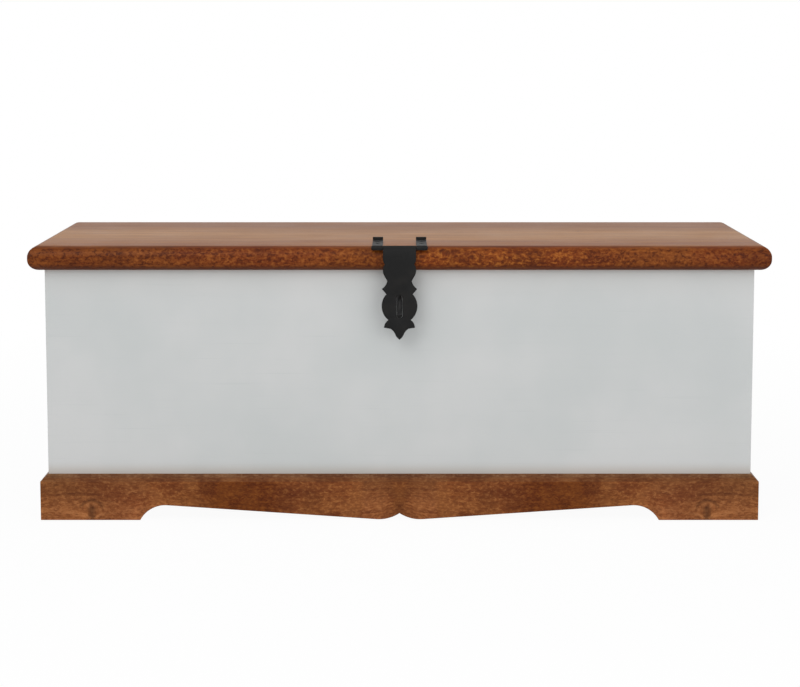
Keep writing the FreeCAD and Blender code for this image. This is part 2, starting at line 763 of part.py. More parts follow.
def make_strap():
    """The hanging strap: a plate rolled into a knuckle, cut to its outline, with the slot for the staple."""
    radius = knuckle_radius
    back = dim.strap_thickness - radius
    roll_start = -root(radius * radius - back * back)
    side_view = [
        (-radius, zero, radius, 1), (-radius, -dim.strap_drop), (back, -dim.strap_drop), (back, roll_start),
        (radius, zero, radius, 1), (zero, radius, radius, 1),
    ]
    width = dim.disc_radius
    rolled = place(padded("strap_rolled", "YZ_Plane", side_view, width * 2), -width, latch_y, latch_z)
    outline = padded("strap_face", "XZ_Plane", strap_outline(), radius * 2)
    face = place(outline, zero, latch_y + radius, latch_z)
    low = -dim.slot_drop - dim.slot_height / 2
    high = -dim.slot_drop + dim.slot_height / 2
    round_end = dim.slot_width / 2
    slot_view = mirrored([(zero, low), (round_end, low + round_end, round_end, 1),
                          (round_end, high - round_end), (zero, high, round_end, 1)])
    slot = place(padded("strap_slot", "XZ_Plane", slot_view, radius * 2), zero, latch_y + radius, latch_z)
    bore_size = dim.latch_pin_diameter + dim.pin_clearance * 2
    bore = rod("strap_bore", bore_size, width * 2, -width, latch_y, latch_z, ALONG_X)
    node(cut("strap_cut", common("strap_blank", [rolled, face]), [slot, bore]), "hasp_strap")


def check_and_export():
    """Recompute, stop on any failed object or bad shape, then write one file for each piece."""
    doc.recompute()
    failed = [item.Name for item in doc.Objects if "Invalid" in item.State or "Error" in item.State]
    if failed:
        raise RuntimeError(f"these objects failed: {failed}")
    os.makedirs("parts", exist_ok=True)
    for item in nodes:
        shape = item.Shape
        if shape.isNull() or not shape.isValid() or shape.Volume <= 0:
            raise RuntimeError(f"bad shape: {item.Label}")
        shape.exportStep(f"parts/{item.Label}.step")
    print(len(nodes), "pieces, latch axis", latch_y.value, latch_z.value, "hinge axis", hinge_y.value)


make_plinth()
panel_tools, lid_tools = make_hinges()
make_carcass(panel_tools)
make_lid(lid_tools, make_prongs())
make_strap()
check_and_export()
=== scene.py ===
"""Storage trunk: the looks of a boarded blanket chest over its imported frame.

Metres. X runs along the front, Y from the front to the back, Z up from the floor. Boards, ironwork and
fasteners are surfaces worked out with numpy, each in the place that its CAD node holds.
"""
import json
import math

import bmesh
import bpy
import numpy as np
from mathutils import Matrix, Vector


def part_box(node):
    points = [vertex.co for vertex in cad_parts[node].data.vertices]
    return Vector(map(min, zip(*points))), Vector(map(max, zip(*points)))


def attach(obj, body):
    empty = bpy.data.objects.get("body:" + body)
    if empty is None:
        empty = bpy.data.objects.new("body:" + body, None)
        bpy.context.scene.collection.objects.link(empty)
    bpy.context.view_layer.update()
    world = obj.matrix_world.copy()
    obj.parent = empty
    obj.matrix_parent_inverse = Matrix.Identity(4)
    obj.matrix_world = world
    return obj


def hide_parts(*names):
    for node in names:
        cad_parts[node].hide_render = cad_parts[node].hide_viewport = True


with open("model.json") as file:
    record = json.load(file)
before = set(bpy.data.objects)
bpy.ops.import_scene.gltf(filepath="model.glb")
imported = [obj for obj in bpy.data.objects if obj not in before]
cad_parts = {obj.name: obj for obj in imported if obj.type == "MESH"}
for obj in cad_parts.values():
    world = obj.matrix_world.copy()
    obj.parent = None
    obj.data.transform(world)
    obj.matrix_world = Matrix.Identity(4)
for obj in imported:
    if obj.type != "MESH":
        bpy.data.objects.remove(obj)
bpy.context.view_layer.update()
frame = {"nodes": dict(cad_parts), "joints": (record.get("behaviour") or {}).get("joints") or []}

# Lid.
NOSE_RADIUS = 0.018
NOSE_STEPS = 16
REAR_ROUND = 0.003
# Plinth.
PLINTH_CHAMFER = 0.011
FRONT_FOOT = 0.163
SIDE_FOOT = 0.100
SCROLL_RADIUS = 0.047
SCROLL_CROWN = 0.0247
LOBE_RADIUS = 0.062
LOBE_OFFSET = 0.034
LOBE_RISE = 0.0013
SCROLL_STEPS = 24
# Battens under the lid.
BATTEN_CHAMFER = 0.012
# Butt hinges.
LEAF_WIDTH = 0.018
LEAF_THICKNESS = 0.0025
LEAF_CLEARANCE = 0.0005
KNUCKLE_OVERLAP = 0.001
HINGE_LENGTH = 0.076
HINGE_RADIUS = 0.005
HINGE_PIN_RADIUS = 0.0024
HINGE_BORE_RADIUS = 0.0025
HINGE_HEAD_RADIUS = 0.0037
KNUCKLES = 5
KNUCKLE_GAP = 0.0002
NOTCH_ROOM = 0.0055
NOTCH_END_ROOM = 0.003
# Latch.
STRAP_REACH = 0.005
STRAP_THICKNESS = 0.0025
STRAP_HALF_WIDTH = 0.0265
STRAP_DROP = 0.1484
STRAP_SHOULDER = 0.0055
STRAP_RIM = 0.0008
DISC_RADIUS = 0.0288
DISC_DROP = 0.0940
SLOT_DROP = 0.095
SLOT_WIDTH = 0.0096
SLOT_HEIGHT = 0.038
ROLL_RADIUS = 0.0029
ROLL_THICKNESS = 0.0016
ROLL_LEAD = 0.0015
ROLL_END = math.radians(-110)
PRONG_THICKNESS = 0.002
PRONG_ROLL_RADIUS = 0.003
PRONG_START = math.radians(-40)
PRONG_END = math.radians(-270)
CURL_RADIUS = 0.0019
CURL_RISE = 0.015
CURL_END = math.radians(200)
RIBBON_EASE = 0.36
LATCH_PIN_RADIUS = 0.002
LATCH_HEAD_RADIUS = 0.0034
STAPLE_RADIUS = 0.0039
STAPLE_BEND = 0.0128
STAPLE_LIFT = 0.0005
# The plate behind the slot is a dark sheet that stands in for the strap's shade on the panel: painted shade.
SHADE_PLATE_WIDTH = 0.0090
SHADE_PLATE_HEIGHT = 0.047
SHADE_PLATE_THICKNESS = 0.0012
# Pins: how far each peened head stands out, and its outline from its rim to its crown as shares of that and
# of its radius.
PIN_HEAD_HEIGHT = 0.0015
PIN_HEAD_SHARES = ((1, 1), (0.6, 0.98), (0.25, 0.84), (0.05, 0.55), (0, 0))
# Screws: the straight share of the length and the point's share of the shank. The cross recess is in shares
# of the head's radius, and at the head's centre it is a little deeper than its depth.
SCREW_SHANK = 0.002
SCREW_STRAIGHT = 0.85
SCREW_POINT = 0.2
SCREW_HEAD = 0.004
SCREW_HEAD_HEIGHT = 0.0022
SCREW_DOME = 0.0002
RECESS_DEPTH = 0.0013
RECESS_CENTRE = 1.1
RECESS_ARM = 0.14
RECESS_REACH = 0.56
RECESS_WALL = 0.03
# How far the heads stand out of the wood, the hinge leaves and the straps on the lid.
WOOD_SCREW_PROUD = 0.00015
LEAF_SCREW_PROUD = 0.00004
PRONG_SCREW_PROUD = -0.0006
# Arrises, from sawn stock to planed boards.
SOFT_ARRIS = 0.0012
CRISP_ARRIS = 0.0006
METAL_ARRIS = 0.0003
MERGE = 1e-6
SHARP = math.radians(35)

# The latch strap's outline below its knuckle, from the top down. Each row holds the half width as a share
# of the disc's radius, the drop as a share of the strap's drop, and the bow of the edge that ends there as
# a share of its chord: positive bows outwards, negative inwards.
SHOULDER_SHARES = ((0.924, 0.088, 0.0), (0.823, 0.177, 0.098), (0.856, 0.300, 0.147), (0.680, 0.359, 0.0),
                   (0.990, 0.445, -0.10), (0.730, 0.504, 0.0))
TIP_SHARES = ((0.872, 0.868, 0.11), (0.500, 0.881, 0.0), (0.222, 0.951, -0.085), (0.0, 1.0, 0.07))
DISC_END_SHARE = 0.628


def corners(node):
    """The lowest and the highest corner of a CAD node."""
    low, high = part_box(node)
    return np.array(low), np.array(high)


def joint_place(name):
    return np.array(next(joint["pos_m"] for joint in frame["joints"] if joint["name"] == name))


lid_low, lid_high = corners("lid_board_front")
front_low, front_high = corners("front_panel")
back_low, back_high = corners("back_panel")
side_low, side_high = corners("left_panel")
plinth_low, plinth_high = corners("plinth_front")
BODY_FRONT = front_low[1]
BODY_BACK = back_high[1]
BODY_SIDE = front_high[0]
INNER_BACK = back_low[1]
INNER_SIDE = BODY_SIDE - (side_high[0] - side_low[0])
CARCASS_TOP = front_high[2]
MIDDLE_Y = (BODY_FRONT + BODY_BACK) / 2
PLINTH_THICKNESS = BODY_FRONT - plinth_low[1]
PLINTH_TOP = float(plinth_high[2])
HINGE = joint_place("lid_hinge")
LATCH = joint_place("hasp_hinge")
HINGE_MIDDLES = [sum(corners("hinge_body_leaf_" + side))[0] / 2 for side in ("left", "right")]


# Node trees.

class Signal:
    """What a node puts out. Arithmetic with signals, numbers and vectors adds the node that works it out."""

    def __init__(self, socket):
        self.socket = socket

    def __add__(self, other):
        return worked("ADD", self, other)

    def __sub__(self, other):
        return worked("SUBTRACT", self, other)

    def __rsub__(self, other):
        return worked("SUBTRACT", other, self)

    def __mul__(self, other):
        return worked("MULTIPLY", self, other)

    def __truediv__(self, other):
        return worked("DIVIDE", self, other)

    def __rtruediv__(self, other):
        return worked("DIVIDE", other, self)

    def __abs__(self):
        return worked("ABSOLUTE", self)


def feed(socket, value):
    """Link a signal to an input, or set a plain value on it."""
    if isinstance(value, Signal):
        socket.id_data.links.new(value.socket, socket)
    else:
        socket.default_value = value


def add(tree, kind, inputs=None, **settings):
    """Add a node with its settings and its inputs."""
    node = tree.nodes.new("ShaderNode" + kind)
    for name, value in settings.items():
        setattr(node, name, value)
    for key, value in (inputs or {}).items():
        feed(node.inputs[key], value)
    return node


def outputs(node):
    """A node's outputs by name."""
    return {socket.name: Signal(socket) for socket in node.outputs}


def result(kind, inputs, key=0, **settings):
    """One output of a new node, which joins the tree of the signals that feed it."""
    tree = next(value.socket.id_data for value in inputs.values() if isinstance(value, Signal))
    return Signal(add(tree, kind, inputs, **settings).outputs[key])


def worked(operation, first, second=0.0):
    """A Math node, or a Vector Math node where either side is a vector."""
    vectors = [side for side in (first, second)
               if isinstance(side, tuple) or isinstance(side, Signal) and side.socket.type != "VALUE"]
    return result("VectorMath" if vectors else "Math", {0: first, 1: second}, operation=operation)


def scaled(vector, share):
    return result("VectorMath", {0: vector, "Scale": share}, operation="SCALE")


def length(vector):
    return result("VectorMath", {0: vector}, "Value", operation="LENGTH")


def parts(vector):
    """The X, Y and Z of a vector."""
    return outputs(add(vector.socket.id_data, "SeparateXYZ", {0: vector}))


def joined(x, y, z):
    return result("CombineXYZ", {"X": x, "Y": y, "Z": z})


def ramp(value, low, high):
    """A smooth rise from 0 at low to 1 at high; low may be the larger."""
    return result("MapRange", {"Value": value, "From Min": low, "From Max": high}, "Result",
                  interpolation_type="SMOOTHSTEP")


def near(value, middle, reach, core):
    """1 close to a middle, within the core's share of the reach, and 0 beyond the reach."""
    return ramp(abs(value - middle), reach, reach * core)


def mixed(share, first, second, blend="MIX"):
    """Two colours in the given proportion. With MULTIPLY the second tints the first."""
    return result("Mix", {0: share, 6: first, 7: second}, 2, data_type="RGBA", blend_type=blend)


def layered(surface, layers):
    """Lay tones over a surface, one after another. Each layer is a mask, its strength and its tone."""
    for mask, strength, tone in layers:
        surface = mixed(mask * strength, surface, tone)
    return surface


def noise(vector, scale, detail=4.0, roughness=0.5, distortion=0.0):
    return result("TexNoise", {"Vector": vector, "Scale": scale, "Detail": detail, "Roughness": roughness,
                               "Distortion": distortion}, "Fac")


def colour(red, green, blue):
    """A colour as it looks on the screen, from 0 to 255, in the linear numbers that a shader takes."""
    shown = np.array([red, green, blue]) / 255
    linear = np.where(shown <= 0.04045, shown / 12.92, ((shown + 0.055) / 1.055) ** 2.4)
    return (*linear.tolist(), 1.0)


def shader_group(name, inputs, results):
    """An empty node group with its sockets, and what comes in by name. Inputs have their plain values."""
    group = bpy.data.node_groups.new(name, "ShaderNodeTree")
    for socket, value in inputs.items():
        kind = "NodeSocketVector" if isinstance(value, tuple) else "NodeSocketFloat"
        group.interface.new_socket(socket, in_out="INPUT", socket_type=kind).default_value = value
    for socket in results:
        group.interface.new_socket(socket, in_out="OUTPUT", socket_type="NodeSocketFloat")
    return group, outputs(group.nodes.new("NodeGroupInput"))


def give_out(group, values):
    """Put values out of a group, in the order of its outputs."""
    for socket, value in zip(group.nodes.new("NodeGroupOutput").inputs, values):
        feed(socket, value)
    return group


def use_group(group, inputs):
    """A group's outputs; its inputs are values or signals, one of them the vector."""
    return outputs(add(inputs["Vector"].socket.id_data, "Group", inputs, node_tree=group))


ACROSS = (0.0, 1.0, 1.0)


def make_grain_group():
    """Wood that runs along X of the vector it is given, in metres, and parts round one knot.

    Streaks are noise drawn out along the grain at two scales. A point keeps its share 1 - (size / distance)
    squared of its way across from the knot, as a stream does round a post. The knot reaches further down
    from its middle as its fall goes from 1 to 0, and an arch stands over it. Mottle is a short-grained
    figure, pores are fine dark dashes.
    """
    group, given = shader_group(
        "wood grain",
        {"Vector": (0, 0, 0), "Knot Place": (0, 0, 0), "Knot Size": 0.008, "Knot Fall": 1.0, "Fineness": 1.0,
         "Sway": 0.030, "Mottle Across": 1.4},
        ("Streaks", "Mottle", "Pores", "Knot", "Arch", "Relief"))
    size = given["Knot Size"]
    clouds = outputs(add(group, "TexNoise", {"Vector": given["Vector"], "Scale": 7.0, "Detail": 2.0}))
    sway = (clouds["Color"] - (0.5, 0.5, 0.5)) * ACROSS
    swayed = given["Vector"] + scaled(sway, given["Sway"])
    away = swayed - given["Knot Place"]
    share = length(away * (0.84, 1.0, 1.0)) / size
    close = worked("MINIMUM", 1.0 / (share * share), 0.7)
    bent = scaled(swayed - scaled(away, close) * ACROSS, given["Fineness"])
    broad = noise(bent * (2.4, 34.0, 34.0), 1.0, 3.0, 0.55)
    fine = noise(bent * (9.0, 260.0, 260.0), 1.0, 4.0, 0.6)
    streaks = broad * 0.58 + fine * 0.42
    drawn = joined(1.0, given["Mottle Across"], given["Mottle Across"])
    mottle = noise(bent * drawn, 150.0, 6.0, 0.66, 0.5)
    pores = ramp(noise(bent * (95.0, 900.0, 900.0), 1.0, 2.0), 0.60, 0.72)
    frays = mottle * 0.6
    from_knot = parts(away)
    above = ramp(from_knot["Z"] / size, -0.3, 0.8)
    arch = ramp(abs(share + frays - 1.9), 0.38, 0.04) * above
    fallen = worked("MAXIMUM", from_knot["Z"], from_knot["Z"] * -1.0 * given["Knot Fall"])
    spike = joined(from_knot["X"], from_knot["Y"], fallen)
    knot = ramp(length(spike * (1.1, 1.0, 1.0)) / size + frays, 1.45, 0.65)
    return give_out(group, (streaks, mottle, pores, knot, arch, streaks - pores * 0.5))


def make_handling_group():
    """Roughness that varies as on handled goods: wide cloudy wipe marks and a few hair-fine scratches."""
    group, given = shader_group("handling marks", {"Vector": (0, 0, 0), "Roughness": 0.4, "Spread": 0.08},
                                ("Roughness", "Scratches"))
    clouds = noise(given["Vector"], 11.0, 3.0) - 0.5
    lines = ramp(noise(given["Vector"] * (28.0, 900.0, 300.0), 1.0, 1.0), 0.735, 0.78)
    return give_out(group, (given["Roughness"] + clouds * given["Spread"] + lines * 0.08, lines))


grain_group = make_grain_group()
handling_group = make_handling_group()


def start_material(name):
    """A material with its Principled shader and the piece's own coordinates."""
    material = bpy.data.materials.new(name)
    material.use_nodes = True
    tree = material.node_tree
    return material, tree.nodes["Principled BSDF"], outputs(add(tree, "TexCoord"))


def handling(vector, roughness, spread):
    return use_group(handling_group, {"Vector": vector, "Roughness": roughness, "Spread": spread})


def finish_surface(shader, tone, roughness, height, strength, depth, gloss=0.5, metal=0.0):
    """Feed a shader its colour, its roughness and its relief. Gloss and metal are the same all over."""
    relief = result("Bump", {"Height": height, "Strength": strength, "Distance": depth}, "Normal")
    for key, value in (("Base Color", tone), ("Roughness", roughness), ("Specular IOR Level", gloss),
                       ("Metallic", metal), ("Normal", relief)):
        feed(shader.inputs[key], value)


def along_grain(place, direction, offset, mirrored=False):
    """The piece's coordinates with X along the grain; a mirrored board repeats about its middle."""
    if mirrored:
        at = parts(place)
        place = joined(abs(at["X"]), at["Y"], at["Z"])
    turn = {"x": (0, 0, 0), "y": (0, 0, -math.pi / 2), "z": (0, math.pi / 2, 0)}[direction]
    return result("Mapping", {"Vector": place, "Location": offset, "Rotation": turn})


# Stains and paint. A tint multiplies what it lies on. At a joint a board takes on the shared part of the
# next board's tone, and beyond the fade nothing of it.
LID_TONES = (colour(64, 24, 7), colour(113, 56, 18), colour(147, 84, 34))
PLINTH_TONES = (colour(83, 39, 15), colour(136, 81, 39), colour(175, 116, 65))
# The lid staves' broad faces: each stave's own tones, made lighter than the stain on the edges by a painted
# sheen.
LID_TOP_TONES_AND_SHEEN = {
    "front": (colour(130, 73, 26), colour(152, 93, 35)),
    "middle": (colour(151, 101, 54), colour(175, 123, 70)),
    "rear": (colour(123, 71, 25), colour(145, 89, 38)),
}
TONE_FADE = 0.058
TONE_SHARED = 0.42
STAIN_RED = colour(112, 40, 14)
STAIN_BLACK = colour(44, 17, 6)
DEEP_STAIN = (0.57, 0.44, 0.23, 1)
THIN_STAIN = (1.38, 1.50, 1.24, 1)
# Painted sheen: greyer and bluer tints for the lid's upper nose and the plinth's chamfer; the chamfer's first
# tint, at its foot, is also darker, painted shade.
NOSE_SHEEN_TINT = (0.95, 1.08, 1.75, 1)
CHAMFER_SHEEN_TINTS = ((0.70, 0.74, 0.85, 1), (0.74, 1.0, 1.65, 1))
GRADE_HEIGHTS = (0.012, 0.068)
GRADE_TINTS = ((1.16, 1.18, 1.40, 1), (0.75, 0.76, 0.83, 1))
SPOT_TINT = (0.76, 0.71, 0.72, 1)
SPOT_REACH = 0.014
# Painted shade, warm as with light thrown back by the brown wood: on the paint over the plinth and under the
# lid.
PAINTED_SHADE_TINT = (0.80, 0.72, 0.66, 1)
PLINTH_SHADE_ABOVE, PLINTH_SHADE_BELOW = 0.022, 0.004
UNDER_LID_SHADE_DROP = 0.060
UNDER_LID_SHADE_SHARE = 0.12
FACE_SLACK = 0.0004
NO_KNOT = (9, 9, 9)


def make_stained_wood(name, direction="x", offset=(0, 0, 0), tones=PLINTH_TONES, speckle=0.5, across=2.0,
                      knot=NO_KNOT, knot_size=0.008, mirrored=False, places=(), graded=(), spot=None, top=None,
                      beside=()):
    """Brown stained softwood under a thin satin varnish.

    The speckle of short grain shows on upright faces, and across says how much finer it is across the grain
    than along it. The stain sank in unevenly in some places, given as where they are along the grain, how
    far they reach, how strong they are and their tint. In the graded places the board is tinted darker at its
    top and lighter and bluer at its foot, and the stain gathers in the spot. A board with top tones is lighter
    on its broad faces, a painted sheen besides the staves' own tones, and there it takes on the tones of the
    boards beside it towards their joints. A face that leans back is made greyer and bluer, a painted sheen,
    and one that leans down is made darker, painted shade.
    """
    material, shader, place = start_material(name)
    deep, plain, pale = tones
    vector = along_grain(place["Object"], direction, offset, mirrored)
    along = parts(vector)["X"]
    at = parts(place["Object"])
    facing = parts(place["Normal"])["Z"]
    wood = use_group(grain_group, {"Vector": vector, "Knot Place": knot, "Knot Size": knot_size,
                                   "Knot Fall": 0.25, "Mottle Across": across})
    stain = add(material.node_tree, "ValToRGB", {"Fac": wood["Streaks"]})
    steps = stain.color_ramp.elements
    steps[0].position, steps[0].color = 0.30, deep
    steps[1].position, steps[1].color = 0.70, pale
    steps.new(0.5).color = plain
    upright = ramp(abs(facing), 0.95, 0.6) * speckle
    blotches = noise(vector, 26.0, 2.0)
    surface = layered(Signal(stain.outputs[0]), (
        (ramp(noise(vector, 6.0, 2.0), 0.42, 0.64), 0.30, STAIN_RED),
        (ramp(wood["Mottle"], 0.50, 0.38), upright, deep),
        (ramp(wood["Mottle"], 0.50, 0.64), upright, pale),
        (ramp(blotches, 0.54, 0.36), 0.28, deep),
    ))
    if not top:
        surface = mixed(ramp(blotches, 0.48, 0.66) * 0.18, surface, pale)
    leaning_back = near(facing, 0.93, 0.068, 0.4) if top else near(facing, 0.70, 0.25, 0.4)
    flat = 1.0 - leaning_back
    for middle, reach, strength, tint in places:
        surface = mixed(near(along, middle, reach, 0.3) * flat * strength, surface, tint, "MULTIPLY")
    if graded:
        share = worked("MAXIMUM", *[near(along, middle, reach, 0.5) for middle, reach in graded])
        grade = mixed(ramp(at["Z"], *GRADE_HEIGHTS), *GRADE_TINTS)
        surface = mixed(share * flat, surface, grade, "MULTIPLY")
    if spot:
        away = length((vector - spot) * (1.0, 0.0, 0.7)) / SPOT_REACH
        surface = mixed(ramp(away, 1.0, 0.3), surface, SPOT_TINT, "MULTIPLY")
    # Painted sheen on a face that leans back: the lid's upper nose, or the plinth's chamfer, greyer towards
    # its top and darker at its foot, where worn says how far up the chamfer a point lies.
    if top:
        tint = NOSE_SHEEN_TINT
    else:
        chamfer_low = PLINTH_TOP - PLINTH_CHAMFER
        worn = ramp(at["Z"], chamfer_low + PLINTH_CHAMFER * 0.3, chamfer_low + PLINTH_CHAMFER * 0.75)
        tint = mixed(worn, *CHAMFER_SHEEN_TINTS)
    surface = mixed(leaning_back, surface, tint, "MULTIPLY")
    # Painted shade: a face that leans down is darkened towards the deep tone.
    under = ramp(facing, -0.30, -0.80) * ramp(facing, -0.995, -0.96)
    surface = mixed(under * 0.65, surface, deep)
    # Painted sheen: a lid board's broad faces take its lighter top tones.
    if top:
        bands = ramp(wood["Streaks"], 0.36, 0.66)
        broad = mixed(bands, *top)
        for joint, tones_beyond in beside:
            share = near(at["Y"], joint, TONE_FADE, 0.0) * TONE_SHARED
            broad = mixed(share, broad, mixed(bands, *tones_beyond))
        surface = mixed(ramp(abs(facing), 0.94, 0.997), surface, broad)
    dark = (("Pores", 0.30), ("Arch", 0.45), ("Knot", 0.62))
    surface = layered(surface, [(wood[mark], strength, STAIN_BLACK) for mark, strength in dark])
    marks = handling(vector, 0.44, 0.12)
    finish_surface(shader, surface, marks["Roughness"], wood["Relief"], strength=0.28, depth=0.0006,
                   gloss=0.108)
    return material


def pine_surface(vector, knot):
    """Colour, roughness and relief of sealed pine."""
    wood = use_group(grain_group, {"Vector": vector, "Knot Place": knot, "Knot Size": 0.010,
                                   "Sway": 0.016, "Fineness": 0.9})
    bands = mixed(ramp(wood["Streaks"], 0.36, 0.62), colour(208, 166, 112), colour(227, 194, 145))
    surface = layered(bands, ((wood["Pores"], 0.10, colour(160, 108, 62)),
                              (wood["Knot"], 0.8, colour(116, 64, 32))))
    return surface, handling(vector, 0.55, 0.1)["Roughness"], wood["Relief"]


def make_inner_wood(name, direction="x", offset=(0, 0, 0), knot=NO_KNOT):
    """Planed pine, sealed but not stained."""
    material, shader, place = start_material(name)
    vector = along_grain(place["Object"], direction, offset)
    finish_surface(shader, *pine_surface(vector, knot), strength=0.25, depth=0.0005)
    return material


def make_painted_wood(name, direction="x", offset=(0, 0, 0), knot=NO_KNOT):
    """Off-white satin paint outside, sealed pine on the faces that look into the chest. Painted shade, warm
    as with light thrown back by the brown wood, darkens the paint over the plinth and a little under the lid."""
    material, shader, place = start_material(name)
    vector = along_grain(place["Object"], direction, offset)
    at = parts(place["Object"])
    beside = worked("LESS_THAN", abs(at["X"]), INNER_SIDE + FACE_SLACK)
    within = worked("LESS_THAN", abs(at["Y"] - MIDDLE_Y), INNER_BACK - MIDDLE_Y + FACE_SLACK)
    level = worked("LESS_THAN", abs(parts(place["Normal"])["Z"]), 0.6)
    inside = beside * within * level
    pine, pine_rough, relief = pine_surface(vector, knot)
    paint = mixed(ramp(noise(vector, 5.0, 3.0), 0.3, 0.7), colour(192, 195, 194), colour(200, 201, 200))
    brushed = noise(vector * (6.0, 420.0, 420.0), 1.0, 3.0)
    paint = mixed(ramp(brushed, 0.60, 0.9), paint, colour(188, 191, 190))
    # Painted shade on the paint just over the plinth and, on upright faces, under the lid.
    plinth_shade = ramp(at["Z"], PLINTH_TOP + PLINTH_SHADE_ABOVE, PLINTH_TOP - PLINTH_SHADE_BELOW)
    under_lid_shade = ramp(at["Z"], CARCASS_TOP - UNDER_LID_SHADE_DROP, CARCASS_TOP) * level
    paint = mixed(plinth_shade + under_lid_shade * UNDER_LID_SHADE_SHARE, paint, PAINTED_SHADE_TINT, "MULTIPLY")
    rough = result("Mix", {0: inside, 2: handling(vector, 0.42, 0.10)["Roughness"], 3: pine_rough})
    film = relief * 0.5 + (brushed * 0.25 + noise(vector, 620.0, 2.0) * 0.25)
    height = result("Mix", {0: inside, 2: film, 3: relief})
    finish_surface(shader, mixed(inside, paint, pine), rough, height, strength=0.12, depth=0.0003, gloss=0.3)
    return material


def make_black_iron(name, darkest, worn):
    """Forged iron under thin black paint: shallow hammer marks, and browner patches where it wears."""
    material, shader, place = start_material(name)
    vector = place["Object"]
    dents = result("TexVoronoi", {"Vector": vector, "Scale": 210.0, "Smoothness": 0.9}, "Distance",
                   feature="SMOOTH_F1")
    black = mixed(ramp(noise(vector, 46.0, 4.0), 0.45, 0.72), darkest, worn)
    height = dents * 0.8 + noise(vector, 1400.0, 3.0) * 0.2
    marks = handling(vector, 0.52, 0.16)
    finish_surface(shader, black, marks["Roughness"], height, strength=0.22, depth=0.0008, gloss=0.14)
    return material


def make_steel(name, tone, roughness):
    """Plated steel with a cloudy plating and fine scratches."""
    material, shader, place = start_material(name)
    clouds = noise(place["Object"], 160.0, 4.0)
    plating = mixed(ramp(clouds, 0.35, 0.7), tone, colour(150, 152, 156))
    marks = handling(place["Object"], roughness, 0.12)
    finish_surface(shader, plating, marks["Roughness"], clouds - marks["Scratches"], strength=0.08,
                   depth=0.0003, metal=1.0)
    return material


# Surfaces.

def stand(name, data):
    """Put a mesh, a lamp or a camera in the scene."""
    made = bpy.data.objects.new(name, data)
    bpy.context.scene.collection.objects.link(made)
    return made


def laid_out(x, y, z):
    """Points from three arrays that broadcast together."""
    return np.stack(np.broadcast_arrays(x, y, z), axis=-1)


def lofted(rings, closed=False):
    """A shell through rings of points. rings[i, j] is point j of ring i, and each side face joins points j and
    j + 1 of a ring to the same points of the next. An open run of rings also gets its two end faces."""
    count, size = rings.shape[:2]
    first = np.arange(count if closed else count - 1)[:, None] * size
    following = (first + size) % (count * size)
    left = np.arange(size)[None, :]
    right = (left + 1) % size
    quads = np.stack([first + left, first + right, following + right, following + left], axis=-1)
    ends = [] if closed else [np.arange(size), np.arange(size) + (count - 1) * size]
    return rings.reshape(-1, 3), quads.reshape(-1, 4), ends


def piece(name, shells, material, body, node, ease=0.0):
    """One object from one or more shells, in the place of a CAD node; a bevel eases its arrises."""
    points = []
    faces = []
    start = 0
    for shell_points, quads, ends in shells:
        points.append(shell_points)
        faces += (quads + start).tolist() + [(end + start).tolist() for end in ends]
        start += len(shell_points)
    mesh = bpy.data.meshes.new(name)
    mesh.from_pydata(np.concatenate(points).tolist(), [], faces)
    dressed(name, mesh, material, body, node, ease)


def dressed(name, mesh, material, body, node, ease=0.0):
    """Clean a mesh, make it an object, give it its material and its body, and hide the node it stands for."""
    work = bmesh.new()
    work.from_mesh(mesh)
    bmesh.ops.remove_doubles(work, verts=work.verts, dist=MERGE)
    bmesh.ops.dissolve_degenerate(work, edges=work.edges, dist=MERGE)
    bmesh.ops.recalc_face_normals(work, faces=work.faces)
    work.to_mesh(mesh)
    work.free()
    mesh.shade_smooth()
    mesh.set_sharp_from_angle(angle=SHARP)
    mesh.materials.append(material)
    made = stand(name, mesh)
    if ease:
        bevel = made.modifiers.new("eased arrises", "BEVEL")
        bevel.width = ease
        bevel.segments = 2
        bevel.limit_method = "ANGLE"
        bevel.angle_limit = SHARP
        bevel.harden_normals = True
    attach(made, body)
    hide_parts(node)


def carried_along_x(section, stations):
    """Rings of a section, given as (y, z), at each place along X; or of one section for each place."""
    section = np.asarray(section)
    return laid_out(np.asarray(stations)[:, None], section[..., 0], section[..., 1])


def square_section(low, high):
    return np.array([(low[1], low[2]), (high[1], low[2]), (high[1], high[2]), (low[1], high[2])])


def box_shell(low, high):
    """A straight-sided board between two corners."""
    return lofted(carried_along_x(square_section(low, high), [low[0], high[0]]))


def make_plain_board(node, material, body, ease):
    piece(node + "_wood", [box_shell(*corners(node))], material, body, node, ease)


def at_hinges(steps, kinds):
    """Stations at set steps from the middle of each hinge, and which section stands at each."""
    return np.add.outer(HINGE_MIDDLES, steps).ravel(), list(kinds) * len(HINGE_MIDDLES)


def arc(centre, radius, start, end, steps=SCROLL_STEPS):
    """Points of an arc between two angles in radians."""
    angles = np.linspace(start, end, steps + 1)
    return np.stack([centre[0] + radius * np.cos(angles), centre[1] + radius * np.sin(angles)], axis=-1)


# Lid.

def quarter_round(radius):
    """How far a quarter round lies inside the edge and from the face, from the flat to the edge. At turn t
    these are radius * (1 - sin t) and radius * (1 - cos t)."""
    turn = np.linspace(0, math.pi / 2, NOSE_STEPS + 1)
    return radius * (1 - np.sin(turn)), radius * (1 - np.cos(turn))


def round_edge(edge, inwards, low, high, radius):
    """An edge with two quarter rounds, from the bottom face to the top face."""
    inside, rise = quarter_round(radius)
    inside = edge + inwards * inside
    lower = np.stack([inside, low + rise], axis=-1)
    upper = np.stack([inside, high - rise], axis=-1)[::-1]
    return np.concatenate([lower, upper])


